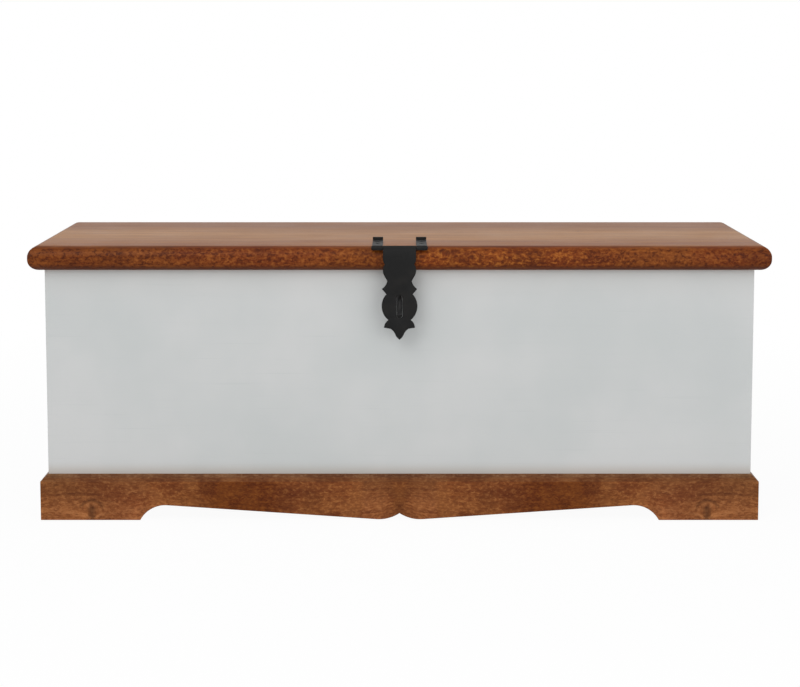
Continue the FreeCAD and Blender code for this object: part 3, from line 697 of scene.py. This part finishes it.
def stave_shell(sections, stations, low, high):
    """Carry one section after another along the lid, and round both ends: a ring in an end's quarter round is
    cut off by that round's way from the face, below the top and above the bottom."""
    inside, cut = quarter_round(NOSE_RADIUS)
    reach = high[0] - inside
    first = np.repeat(sections[:1], len(cut), axis=0)
    last = np.repeat(sections[-1:], len(cut), axis=0)
    across = np.concatenate([-reach[::-1], stations, reach])
    lost = np.concatenate([cut[::-1], np.zeros(len(stations)), cut])[:, None]
    outline = np.concatenate([first, sections, last])
    clipped = np.clip(outline[..., 1], low[2] + lost, high[2] - lost)
    return lofted(laid_out(across[:, None], outline[..., 0], clipped))


def rear_sections(low, high):
    """The rear stave's section: plain, then with the room for a knuckle, then with a leaf's recess too."""
    start, end = HINGE[1] - NOTCH_ROOM, HINGE[1] + NOTCH_ROOM
    leaf = BODY_BACK - LEAF_WIDTH
    edge = round_edge(high[1], -1, low[2], high[2], REAR_ROUND)
    made = []
    for leaf_depth, notch_depth in ((0, 0), (0, NOTCH_ROOM), (LEAF_THICKNESS, NOTCH_ROOM)):
        leaf_top, notch_top = low[2] + leaf_depth, low[2] + notch_depth
        under = [(low[1], low[2]), (leaf, low[2]), (leaf, leaf_top), (start, leaf_top), (start, notch_top),
                 (end, notch_top), (end, low[2])]
        made.append(np.concatenate([under, edge, [(low[1], high[2])]]))
    return np.array(made)


def stave_sections(side, low, high):
    """A stave's sections and the places along the lid where they stand."""
    if side == "front":
        nose = round_edge(low[1], 1, low[2], high[2], NOSE_RADIUS)
        return np.concatenate([[(high[1], low[2])], nose, [(high[1], high[2])]])[None], [0.0]
    if side == "middle":
        return square_section(low, high)[None], [0.0]
    leaf = HINGE_LENGTH / 2
    notch = leaf + NOTCH_END_ROOM
    stations, kinds = at_hinges((-notch, -notch, -leaf, -leaf, leaf, leaf, notch, notch),
                                (0, 1, 1, 2, 2, 1, 1, 0))
    return rear_sections(low, high)[kinds], stations


def make_lid():
    """Three staves glued edge to edge, with one round nose on the front and on both ends, on two battens."""
    front_joint = float(lid_high[1])
    rear_joint = float(corners("lid_board_rear")[0][1])
    staves = (
        ("front", (0.30, 0.0, 0.10), (0.372, -0.219, 0.541), ((front_joint, "middle"),),
         ((-0.30, 0.24, 0.5, DEEP_STAIN), (0.93, 0.22, 0.3, DEEP_STAIN), (0.42, 0.27, 0.85, THIN_STAIN))),
        ("middle", (1.70, 0.4, 0.30), (2.01, 0.45, 0.752), ((front_joint, "front"), (rear_joint, "rear")), ()),
        ("rear", (3.10, 0.9, 0.55), NO_KNOT, ((rear_joint, "middle"),), ()),
    )
    for side, offset, knot, joints, places in staves:
        wood = make_stained_wood(f"stained lid {side}", "x", offset, LID_TONES, 0.75, 1.4, knot, 0.0045,
                                 places=places, top=LID_TOP_TONES_AND_SHEEN[side],
                                 beside=[(joint, LID_TOP_TONES_AND_SHEEN[other]) for joint, other in joints])
        node = "lid_board_" + side
        low, high = corners(node)
        shell = stave_shell(*stave_sections(side, low, high), low, high)
        piece(f"lid_stave_{side}", [shell], wood, "lid", node, METAL_ARRIS)
    batten_wood = make_inner_wood("pine batten", "y", (0.2, 2.3, 0.1))
    for side in ("left", "right"):
        node = "lid_batten_" + side
        low, high = corners(node)
        cut = low[2] + BATTEN_CHAMFER
        section = [(low[1] + BATTEN_CHAMFER, low[2]), (high[1] - BATTEN_CHAMFER, low[2]), (high[1], cut),
                   (high[1], high[2]), (low[1], high[2]), (low[1], cut)]
        shell = lofted(carried_along_x(section, [low[0], high[0]]))
        piece(f"batten_{side}", [shell], batten_wood, "lid", node, SOFT_ARRIS)


# Plinth.

def lower_edge(half, foot, scrolled):
    """The right half of a plinth board's lower edge, from the middle to the mitre. The scroll runs from the
    cusp round a lobe, up a straight slope that touches both arcs, round the crown and down to the heel."""
    heel = half - foot
    drop = SCROLL_CROWN - SCROLL_RADIUS
    crown = np.array([heel - math.sqrt(SCROLL_RADIUS ** 2 - drop ** 2), drop])
    heel_turn = math.atan2(-drop, heel - crown[0])
    if scrolled:
        lobe = np.array([LOBE_OFFSET, LOBE_RISE + LOBE_RADIUS])
        across, up = crown[0] - lobe[0], lobe[1] - drop
        slope = math.asin((SCROLL_RADIUS + LOBE_RADIUS) / math.hypot(across, up)) - math.atan2(up, across)
        cusp_turn = -math.acos(-LOBE_OFFSET / LOBE_RADIUS)
        start = arc(lobe, LOBE_RADIUS, cusp_turn, slope - math.pi / 2)
        crown_turn = math.pi / 2 + slope
    else:
        start = np.array([[0.0, SCROLL_CROWN]])
        crown_turn = math.pi / 2
    round_up = arc(crown, SCROLL_RADIUS, crown_turn, heel_turn)
    return np.concatenate([start, round_up, [[half, 0.0]]])


def plinth_shell(half, foot, scrolled, place, degrees):
    """A board carried along its length with a lower edge that rises and falls. Each ring runs up the face,
    over the chamfer and down the back; the end rings lean back at 45 degrees for the mitre."""
    right = lower_edge(half, foot, scrolled)
    edge = np.concatenate([right[::-1] * (-1, 1), right])
    behind = np.array([0, 0, PLINTH_CHAMFER, PLINTH_THICKNESS, PLINTH_THICKNESS])
    low = edge[:, 1]
    top = np.full_like(low, plinth_high[2])
    across = np.repeat(edge[:, :1], len(behind), axis=1)
    across[0] += behind
    across[-1] -= behind
    turn = math.radians(degrees)
    back = behind - PLINTH_THICKNESS
    return lofted(laid_out(place[0] + across * math.cos(turn) - back * math.sin(turn),
                           place[1] + across * math.sin(turn) + back * math.cos(turn),
                           np.stack([low, top - PLINTH_CHAMFER, top, top, low], axis=-1)))


def make_plinth():
    """Four mitred boards. The front one shows its scroll, its knot and an uneven stain."""
    long_half = BODY_SIDE + PLINTH_THICKNESS
    short_half = (BODY_BACK - BODY_FRONT) / 2 + PLINTH_THICKNESS
    front_look = {"knot": (0.504, plinth_low[1], 0.018), "knot_size": 0.0095, "mirrored": True,
                  "places": ((0.258, 0.105, 1.0, DEEP_STAIN), (0.0, 0.090, 0.24, DEEP_STAIN)),
                  "graded": ((0.500, 0.120), (0.036, 0.034)), "spot": (0.0, 0.0, 0.018)}
    boards = (
        ("front", long_half, FRONT_FOOT, True, (0, BODY_FRONT), 0, front_look),
        ("right", short_half, SIDE_FOOT, False, (BODY_SIDE, MIDDLE_Y), 90,
         {"direction": "y", "offset": (0.7, 0.3, 0)}),
        ("back", long_half, FRONT_FOOT, False, (0, BODY_BACK), 180, {"offset": (1.4, 0.6, 0)}),
        ("left", short_half, SIDE_FOOT, False, (-BODY_SIDE, MIDDLE_Y), 270,
         {"direction": "y", "offset": (2.1, 0.9, 0)}),
    )
    for side, half, foot, scrolled, place, degrees, look in boards:
        wood = make_stained_wood(f"stained plinth {side}", **look)
        shell = plinth_shell(half, foot, scrolled, place, degrees)
        piece(f"plinth_board_{side}", [shell], wood, "chest", "plinth_" + side, CRISP_ARRIS)


# Carcass.

def back_panel_shell():
    """The back panel with a recess in its top edge for each hinge leaf."""
    low, high = corners("back_panel")
    leaf = high[1] - LEAF_WIDTH
    sections = np.array([
        [(low[1], low[2]), (high[1], low[2]), (high[1], high[2] - depth), (leaf, high[2] - depth),
         (leaf, high[2]), (low[1], high[2])] for depth in (0, LEAF_THICKNESS)])
    half = HINGE_LENGTH / 2
    stations, kinds = at_hinges((-half, -half, half, half), (0, 1, 1, 0))
    stations = np.concatenate([[low[0]], stations, [high[0]]])
    return lofted(carried_along_x(sections[[0, *kinds, 0]], stations))


def make_carcass():
    """Four painted panels round a pine bottom, which lies on cleats, and corner blocks behind the feet."""
    front = make_painted_wood("painted front", "x", (0.0, 0.2, 0.0), (0.21, 0.02, 0.22))
    back = make_painted_wood("painted back", "x", (2.4, 0.5, 0.3), (2.11, 0.5 + INNER_BACK, 0.60))
    make_plain_board("front_panel", front, "chest", CRISP_ARRIS)
    piece("back_panel_wood", [back_panel_shell()], back, "chest", "back_panel", METAL_ARRIS)
    for index, side in enumerate(("left", "right")):
        paint = make_painted_wood("painted " + side, "y", (0.4 + index, 1.1 * index, 0.1))
        make_plain_board(side + "_panel", paint, "chest", METAL_ARRIS)
    bottom = make_inner_wood("pine bottom", "x", (0.9, 0.1, 0.5), (1.14, 0.12, 0.567))
    make_plain_board("bottom_panel", bottom, "chest", CRISP_ARRIS)
    strips = {"front": "x", "back": "x", "left": "y", "right": "y"}
    for index, (side, direction) in enumerate(strips.items()):
        pine = make_inner_wood("pine cleat " + side, direction, (0.3 * index, 1.3, 0.2))
        make_plain_board("bottom_cleat_" + side, pine, "chest", CRISP_ARRIS)
    block_pine = make_inner_wood("pine block", "z", (0.1, 0.6, 0.9))
    for place in ("front_left", "front_right", "back_left", "back_right"):
        make_plain_board("corner_block_" + place, block_pine, "chest", SOFT_ARRIS)


# Latch.

def bowed(start, end, share, steps=8):
    """An edge that bows off its chord. At a share t of the way the edge stands 4 * share * t * (1 - t) of the
    chord's length off it, to the left of the way it runs."""
    start, end = np.array(start), np.array(end)
    if share == 0:
        return end[None]
    along = np.linspace(0, 1, steps + 1)[1:, None]
    chord = end - start
    aside = np.array([-chord[1], chord[0]])
    return start + chord * along + aside * (4 * share * along * (1 - along))


def strap_outline():
    """The strap's face as (x, z) about the pin, closed, clockwise from the top left."""
    right = [np.array([[STRAP_HALF_WIDTH, -STRAP_SHOULDER]])]

    def follow(rows):
        for width, drop, bow in rows:
            right.append(bowed(right[-1][-1], (DISC_RADIUS * width, -STRAP_DROP * drop), bow))

    follow(SHOULDER_SHARES)
    start = right[-1][-1]
    start_turn = math.atan2(start[1] + DISC_DROP, start[0])
    end_turn = -math.acos(DISC_END_SHARE)
    right.append(arc((0.0, -DISC_DROP), DISC_RADIUS, start_turn, end_turn)[1:])
    follow(TIP_SHARES)
    right = np.concatenate(right)
    return np.concatenate([right, right[-2::-1] * (-1, 1)])


def slot_outline(width, height, middle):
    """Two half rounds joined by straights, as (x, z) about a middle height, clockwise."""
    radius = width / 2
    reach = height / 2 - radius
    upper = arc((0, middle + reach), radius, math.pi, 0, 16)
    lower = arc((0, middle - reach), radius, 0, -math.pi, 16)
    return np.concatenate([upper, lower])


def unit(vectors):
    return vectors / np.linalg.norm(vectors, axis=1, keepdims=True)


def inset(outline, distance):
    """A closed clockwise outline moved inwards. Each point moves along the sum of its two edges' normals,
    divided by one plus their product, so both edges shift by the distance."""
    ahead = unit(np.roll(outline, -1, axis=0) - outline)
    normal = np.stack([ahead[:, 1], -ahead[:, 0]], axis=-1)
    before = np.roll(normal, 1, axis=0)
    product = np.clip((normal * before).sum(axis=1, keepdims=True), -0.6, 1)
    return outline + (normal + before) / (1 + product) * distance


def rim_rings(outline, depths, insets, centre=(0.0, 0.0)):
    """An (x, z) outline about a centre at each depth, moved inwards by that depth's inset."""
    moved = np.array([inset(outline, amount) for amount in insets]) + centre
    return laid_out(moved[..., 0], np.array(depths)[:, None], moved[..., 1])


def swept(path, wide, deep, middle_x=0.0):
    """A shell along a path in the YZ plane. Each ring is a section square to the path: wide runs across it,
    along X, and deep runs through it."""
    ahead = unit(np.gradient(path, axis=0))
    through = np.stack([-ahead[:, 1], ahead[:, 0]], axis=-1)
    drawn = path[:, None, :] + through[:, None, :] * deep[..., None]
    return lofted(laid_out(middle_x + wide, drawn[..., 0], drawn[..., 1]))


def ribbon(path, half_width, thickness, middle_x):
    """A strip of metal bent along a path: a rectangle with eased corners, as wide as twice the half width. The
    thickness is one number, or one for each point of the path."""
    half = np.broadcast_to(np.asarray(thickness) / 2, len(path))[:, None]
    ease = half * RIBBON_EASE
    wide = half_width * np.array([1, 1, 1, 1, -1, -1, -1, -1]) + ease * np.array([-1, 0, 0, -1, 1, 0, 0, 1])
    deep = half * np.array([-1, -1, 1, 1, 1, 1, -1, -1]) + ease * np.array([0, 1, -1, 0, 0, -1, 1, 0])
    return swept(path, wide, deep, middle_x)


def eased(steps):
    """Shares from 0 to 1 that start and end slowly: 3 t squared less 2 t cubed."""
    along = np.linspace(0, 1, steps)
    return along * along * (3 - 2 * along)


def turned(profile, place, steps=32):
    """A profile of (x, radius) turned about an axis along X; a radius of nought closes it."""
    angles = np.linspace(0, 2 * math.pi, steps, endpoint=False)
    x, radius = np.asarray(profile)[:, :1], np.asarray(profile)[:, 1:]
    return laid_out(place[0] + x, place[1] + radius * np.cos(angles), place[2] + radius * np.sin(angles))


def pin_shell(node, shank, head):
    """A pin with a peened head at each end."""
    low, high = corners(node)
    half = (high[0] - low[0]) / 2
    right = [(half - PIN_HEAD_HEIGHT, shank)]
    right += [(half - PIN_HEAD_HEIGHT * inwards, head * radius) for inwards, radius in PIN_HEAD_SHARES]
    left = [(-x, radius) for x, radius in right[::-1]]
    points, quads, _ = lofted(turned(left + right, (low + high) / 2))
    return points, quads, []


def strap_roll():
    """The strap's top end as ribbon rings: up from the plate, over the pin and round behind it. It thins from
    the plate's thickness to the roll's on the way up."""
    lead = eased(12)
    plate_y = STRAP_THICKNESS / 2 - STRAP_REACH
    heights = np.linspace(-STRAP_SHOULDER - ROLL_LEAD, 0, len(lead))
    run_up = np.stack([plate_y - (plate_y + ROLL_RADIUS) * lead, heights], axis=-1)
    over = arc((0, 0), ROLL_RADIUS, math.pi, ROLL_END, 40)[1:]
    path = np.concatenate([run_up, over]) + LATCH[1:]
    thickness = np.full(len(path), ROLL_THICKNESS)
    thickness[:len(lead)] = STRAP_THICKNESS + (ROLL_THICKNESS - STRAP_THICKNESS) * lead
    return ribbon(path, STRAP_HALF_WIDTH, thickness, LATCH[0])


def add_shell(work, points, quads, ends=()):
    """Put a shell into a bmesh, and return its vertices."""
    verts = [work.verts.new(point) for point in points.tolist()]
    for face in quads.tolist() + [end.tolist() for end in ends]:
        work.faces.new([verts[corner] for corner in face])
    return verts


def strap_mesh():
    """A flat plate with a slot, and its roll. Both outlines run from face to face with a chamfer at each rim,
    and each face is filled between them."""
    front = LATCH[1] - STRAP_REACH
    back = front + STRAP_THICKNESS
    eased_rim, back_rim = STRAP_RIM * 0.35, STRAP_RIM * 0.5
    depths = (front, front + eased_rim, front + STRAP_RIM, back - back_rim, back)
    insets = np.array([STRAP_RIM, eased_rim, 0, 0, back_rim])
    work = bmesh.new()
    rims = ([], [])
    slot = slot_outline(SLOT_WIDTH, SLOT_HEIGHT, -SLOT_DROP)
    for loop, side in ((strap_outline(), 1), (slot, -1)):
        size = len(loop)
        points, quads, _ = lofted(rim_rings(loop, depths, insets * side, LATCH[[0, 2]]))
        verts = add_shell(work, points, quads)
        for edges, rim in zip(rims, (verts[:size], verts[-size:])):
            edges += [work.edges.get((rim[at], rim[(at + 1) % size])) for at in range(size)]
    for edges in rims:
        bmesh.ops.triangle_fill(work, use_beauty=True, edges=edges)
    add_shell(work, *strap_roll())
    mesh = bpy.data.meshes.new("strap_plate")
    work.to_mesh(mesh)
    work.free()
    return mesh


def prong_shell(low, high):
    """A strap on the lid: from under the pin round its front, back along the lid, up a little and into a
    curl."""
    half = PRONG_THICKNESS / 2
    knuckle = arc(LATCH[1:], PRONG_ROLL_RADIUS, PRONG_START, PRONG_END, 36)
    curl_y = high[1] - CURL_RADIUS - half
    curl_z = high[2] - CURL_RADIUS - half
    rise = eased(10)
    foot = knuckle[-1, 1]
    climb = np.stack([np.linspace(curl_y - CURL_RISE, curl_y, len(rise)),
                      foot + (curl_z - CURL_RADIUS - foot) * rise], axis=-1)
    curl = arc((curl_y, curl_z), CURL_RADIUS, -math.pi / 2, CURL_END, 32)[1:]
    path = np.concatenate([knuckle, climb, curl])
    return ribbon(path, (high[0] - low[0]) / 2, PRONG_THICKNESS, (low[0] + high[0]) / 2)


def staple_shells():
    """A round rod bent to a loop, on a thin plate. The rod's middle line is two straights joined by a half
    circle. The plate's rim goes from a smaller outline at its face to the full one at the panel. The plate, a
    dark sheet of the slot's outline, stands in for the strap's shade on the panel behind the slot: painted
    shade."""
    low, high = corners("hasp_staple")
    middle = (low[2] + high[2]) / 2 + STAPLE_LIFT
    centre = (low[1] + STAPLE_RADIUS + STAPLE_BEND, middle)
    bow = arc(centre, STAPLE_BEND, math.pi / 2, math.pi * 1.5, 32)
    path = np.concatenate([[(high[1], middle + STAPLE_BEND)], bow, [(high[1], middle - STAPLE_BEND)]])
    angles = np.linspace(0, 2 * math.pi, 20, endpoint=False)
    rod = swept(path, STAPLE_RADIUS * np.cos(angles), STAPLE_RADIUS * np.sin(angles))
    face = BODY_FRONT - SHADE_PLATE_THICKNESS
    plate = rim_rings(slot_outline(SHADE_PLATE_WIDTH, SHADE_PLATE_HEIGHT, middle),
                      (face, face + METAL_ARRIS, BODY_FRONT), (METAL_ARRIS, 0, 0))
    return [rod, lofted(plate)]


def make_latch(iron, lightened_iron):
    """Forged strap, its pin, the two straps on the lid and the staple on the front panel."""
    dressed("forged_strap", strap_mesh(), iron, "hasp", "hasp_strap")
    for side in ("left", "right"):
        node = "hasp_leaf_" + side
        piece("forged_prong_" + side, [prong_shell(*corners(node))], iron, "lid", node)
    pin = pin_shell("hasp_pin", LATCH_PIN_RADIUS, LATCH_HEAD_RADIUS)
    piece("latch_pin", [pin], iron, "lid", "hasp_pin")
    piece("staple_on_plate", staple_shells(), lightened_iron, "chest", "hasp_staple")


# Hinges.

def make_hinges():
    """Butt hinges: a plate with the knuckles that it owns, and a pin through all of them."""
    steel = make_steel("hinge steel", colour(172, 170, 164), 0.34)
    pitch = HINGE_LENGTH / KNUCKLES
    edge = HINGE[1] - HINGE_RADIUS - LEAF_CLEARANCE
    leaves = (
        ("body", "chest", range(0, KNUCKLES, 2), CARCASS_TOP - LEAF_THICKNESS),
        ("lid", "lid", range(1, KNUCKLES, 2), CARCASS_TOP),
    )
    for side, middle in zip(("left", "right"), HINGE_MIDDLES):
        left = middle - HINGE_LENGTH / 2
        for kind, body, owned, under in leaves:
            over = under + LEAF_THICKNESS
            shells = [box_shell((left, edge - LEAF_WIDTH, under), (left + HINGE_LENGTH, edge, over))]
            for index in owned:
                start = left + pitch * index + KNUCKLE_GAP
                end = left + pitch * (index + 1) - KNUCKLE_GAP
                shells.append(box_shell((start, edge - KNUCKLE_OVERLAP, under), (end, HINGE[1], over)))
                tube = [(start, HINGE_BORE_RADIUS), (start, HINGE_RADIUS), (end, HINGE_RADIUS),
                        (end, HINGE_BORE_RADIUS)]
                shells.append(lofted(turned(tube, (0, HINGE[1], HINGE[2])), closed=True))
            node = f"hinge_{kind}_leaf_{side}"
            piece(f"{kind}_leaf_{side}", shells, steel, body, node, METAL_ARRIS)
        pin = "hinge_pin_" + side
        shell = pin_shell(pin, HINGE_PIN_RADIUS, HINGE_HEAD_RADIUS)
        piece(f"butt_pin_{side}", [shell], steel, "chest", pin)


# Screws.

def solids_of(node):
    """The points of each separate solid in a CAD node. Points at the same place share a number, and every
    triangle passes its lowest number to its corners until nothing changes."""
    mesh = frame["nodes"][node].data
    points = np.empty(len(mesh.vertices) * 3)
    mesh.vertices.foreach_get("co", points)
    points = points.reshape(-1, 3)
    triangles = np.empty(len(mesh.loops), dtype=np.int32)
    mesh.loops.foreach_get("vertex_index", triangles)
    _, number = np.unique(np.round(points, 6), axis=0, return_inverse=True)
    number = number.reshape(-1)
    corner = number[triangles.reshape(-1, 3)]
    label = np.arange(number.max() + 1)
    while True:
        before = label.copy()
        lowest = label[corner].min(axis=1)
        for column in range(3):
            np.minimum.at(label, corner[:, column], lowest)
        if (label == before).all():
            break
    owner = label[number]
    return [points[owner == each] for each in np.unique(owner)]


def screw_frame(points):
    """Where a screw's head is, which way its face looks, and how long the screw is."""
    low, high = points.min(axis=0), points.max(axis=0)
    axis = int(np.argmax(high - low))
    across = [other for other in range(3) if other != axis]
    centre = (low + high) / 2
    reach = np.linalg.norm(points[:, across] - centre[across], axis=1)
    head = points[np.argmax(reach), axis]
    outwards = np.zeros(3)
    outwards[axis] = 1 if head > centre[axis] else -1
    centre[axis] = head
    return centre, outwards, (high - low)[axis]


def screw_shell(centre, outwards, whole, proud):
    """A countersunk screw with a cross recess. The head is a square grid drawn out to a disc: a point at
    (u, v) keeps its place within the recess and moves onto the circle of radius max(|u|, |v|) at the rim. It
    is low where it lies in an arm of the cross, and domed by its distance from the middle elsewhere."""
    half = [RECESS_ARM - RECESS_WALL, RECESS_ARM, RECESS_REACH - RECESS_WALL, RECESS_REACH, 0.8, 1.0]
    stations = np.array([-each for each in half[::-1]] + [0.0] + half)
    u, v = np.meshgrid(stations, stations, indexing="ij")
    square = np.maximum(abs(u), abs(v))
    share = np.clip((square - RECESS_REACH) / (1 - RECESS_REACH), 0, 1)
    shrink = 1 + share * (square / np.maximum(np.hypot(u, v), 1e-9) - 1)
    wall = RECESS_WALL / 2
    sunk = (np.minimum(abs(u), abs(v)) < RECESS_ARM - wall) & (square < RECESS_REACH - wall)
    up = proud + SCREW_DOME * (1 - square ** 2) - sunk * RECESS_DEPTH * (RECESS_CENTRE - square)
    helper = np.array([0.0, 0.0, 1.0]) if abs(outwards[2]) < 0.5 else np.array([1.0, 0.0, 0.0])
    side = np.cross(outwards, helper)
    other = np.cross(outwards, side)
    head = laid_out(u * shrink * SCREW_HEAD, v * shrink * SCREW_HEAD, up).reshape(-1, 3)
    count = len(stations)
    grid = np.arange(count * count).reshape(count, count)
    quads = np.stack([grid[:-1, :-1], grid[1:, :-1], grid[1:, 1:], grid[:-1, 1:]], axis=-1).reshape(-1, 4)
    rim = np.concatenate([grid[0, :-1], grid[:-1, -1], grid[-1, :0:-1], grid[:0:-1, 0]])
    turn = np.arctan2(head[rim, 1], head[rim, 0])
    radius = np.array([1, 1, SCREW_POINT])[:, None] * SCREW_SHANK
    down = np.array([SCREW_HEAD_HEIGHT, whole * SCREW_STRAIGHT, whole])[:, None]
    shank = laid_out(radius * np.cos(turn), radius * np.sin(turn), -down).reshape(-1, 3)
    chain = np.concatenate([rim[None], len(head) + np.arange(len(shank)).reshape(3, -1)])
    following = np.roll(chain, -1, axis=1)
    walls = np.stack([chain[:-1], following[:-1], following[1:], chain[1:]], axis=-1).reshape(-1, 4)
    points = np.concatenate([head, shank])
    world = centre + points[:, :1] * side + points[:, 1:2] * other + points[:, 2:] * outwards
    return world, np.concatenate([quads, walls]), [chain[-1]]


def make_screws(iron):
    zinc = make_steel("zinc screws", colour(188, 186, 176), 0.30)
    groups = (
        ("cleat_screws", zinc, "chest", "screw_steel", WOOD_SCREW_PROUD),
        ("bottom_screws", zinc, "chest", "screw_steel", WOOD_SCREW_PROUD),
        ("body_leaf_screws", zinc, "chest", "screw_steel", LEAF_SCREW_PROUD),
        ("lid_leaf_screws", zinc, "lid", "screw_steel", LEAF_SCREW_PROUD),
        ("batten_screws", zinc, "lid", "screw_steel", WOOD_SCREW_PROUD),
        ("hasp_leaf_screws", iron, "lid", "black_iron", PRONG_SCREW_PROUD),
    )
    for node, material, body, slot, proud in groups:
        shells = [screw_shell(*screw_frame(points), proud) for points in solids_of(node)]
        piece(node + "_set", shells, material, body, node)


def dress_dowels():
    """The dowels stay as the frame has them: beech, hidden in their joints."""
    beech = make_inner_wood("beech dowel", "y", (0.4, 0.2, 0.7))
    for node in ("corner_dowels", "lid_dowels"):
        held = frame["nodes"][node]
        held.data.materials.clear()
        held.data.materials.append(beech)


# Studio. The lens and its sensor are in millimetres, the camera's tilt is in degrees, and the floor is
# shown whiter from the near distance to the far one.
FLOOR_HALF = 9.0
FLOOR_GREY = colour(246, 246, 246)
WHITE_NEAR, WHITE_FAR, WHITE_LEAST = 0.7, 2.2, 0.95
SKY_STRENGTH = 0.605
LAMP_SIZE = 2.4
AIM_HEIGHT = 0.25
LENS = 94.547
SENSOR = 36.0
CAMERA_SHIFT = (0.0006, -0.08)
CAMERA_AHEAD = 3.36484
CAMERA_HEIGHT = 0.7866
CAMERA_TILT = 6.58


def seen_directly(tree):
    """1 for rays from the camera, in gloss and through glass, and 0 for rays that carry light."""
    path = outputs(add(tree, "LightPath"))
    gloss = worked("MAXIMUM", path["Is Glossy Ray"], path["Is Transmission Ray"])
    return worked("MAXIMUM", path["Is Camera Ray"], gloss)


def show_white(shown_white, shader, white, output):
    """Mix a shader with plain white by a share, for its surface output."""
    blend = result("MixShader", {0: shown_white, 1: Signal(shader.outputs[0]), 2: Signal(white.outputs[0])})
    feed(output.inputs["Surface"], blend)


def make_floor():
    """A pale floor. What the camera and gloss see of it is plain white far out, and takes a faint shadow near
    the trunk."""
    mesh = bpy.data.meshes.new("studio_floor")
    square = [(x * FLOOR_HALF, y * FLOOR_HALF, 0) for x, y in ((-1, -1), (1, -1), (1, 1), (-1, 1))]
    mesh.from_pydata(square, [], [(0, 1, 2, 3)])
    floor = stand("studio_floor", mesh)
    material, shader, place = start_material("studio floor")
    tree = material.node_tree
    for key, value in (("Base Color", FLOOR_GREY), ("Roughness", 0.9), ("Specular IOR Level", 0.0)):
        shader.inputs[key].default_value = value
    white = add(tree, "Emission", {"Color": (1, 1, 1, 1), "Strength": 1.0})
    far_out = result("MapRange", {"Value": length(place["Object"]), "From Min": WHITE_NEAR,
                                  "From Max": WHITE_FAR, "To Min": WHITE_LEAST}, "Result")
    show_white(seen_directly(tree) * far_out, shader, white, tree.nodes["Material Output"])
    mesh.materials.append(material)


def make_world():
    world = bpy.data.worlds.new("studio")
    bpy.context.scene.world = world
    world.use_nodes = True
    tree = world.node_tree
    tree.nodes.clear()
    soft = add(tree, "Background", {"Color": (0.98, 0.985, 1.0, 1), "Strength": SKY_STRENGTH})
    white = add(tree, "Background", {"Color": (1, 1, 1, 1), "Strength": 1.0})
    show_white(seen_directly(tree), soft, white, add(tree, "OutputWorld"))


def make_lamp(name, place, power):
    """A square soft box that looks at the middle of the trunk."""
    light = bpy.data.lights.new(name, "AREA")
    light.shape = "SQUARE"
    light.size = LAMP_SIZE
    light.energy = power
    lamp = stand(name, light)
    lamp.location = place
    aim = np.array([0.0, MIDDLE_Y, AIM_HEIGHT]) - np.array(place)
    flat = math.hypot(aim[0], aim[1])
    lamp.rotation_euler = (math.pi / 2 + math.atan2(aim[2], flat), 0, math.atan2(-aim[0], aim[1]))


def make_camera():
    """The photograph's view: about 3.4 m before the trunk, a little above it and tilted down."""
    data = bpy.data.cameras.new("camera")
    data.sensor_width = SENSOR
    data.lens = LENS
    data.shift_x, data.shift_y = CAMERA_SHIFT
    camera = stand("camera", data)
    camera.location = (0.0, lid_low[1] - CAMERA_AHEAD, CAMERA_HEIGHT)
    camera.rotation_euler = (math.radians(90 - CAMERA_TILT), 0, 0)
    bpy.context.scene.camera = camera


black_iron = make_black_iron("black iron", colour(22, 22, 22), colour(28, 27, 26))
# A lighter copy of the black iron for the staple: painted light, so the rod and its plate show as light as the
# strap in the slot's shade.
lightened_iron = make_black_iron("rubbed iron", colour(48, 48, 48), colour(56, 55, 54))
make_camera()
make_lid()
make_plinth()
make_carcass()
make_latch(black_iron, lightened_iron)
make_hinges()
make_screws(black_iron)
dress_dowels()
make_floor()
make_world()
make_lamp("key", (-1.5, -3.1, 2.7), 53)
make_lamp("fill", (2.2, -3.2, 1.2), 28)
bpy.context.scene.view_settings.view_transform = "Standard"
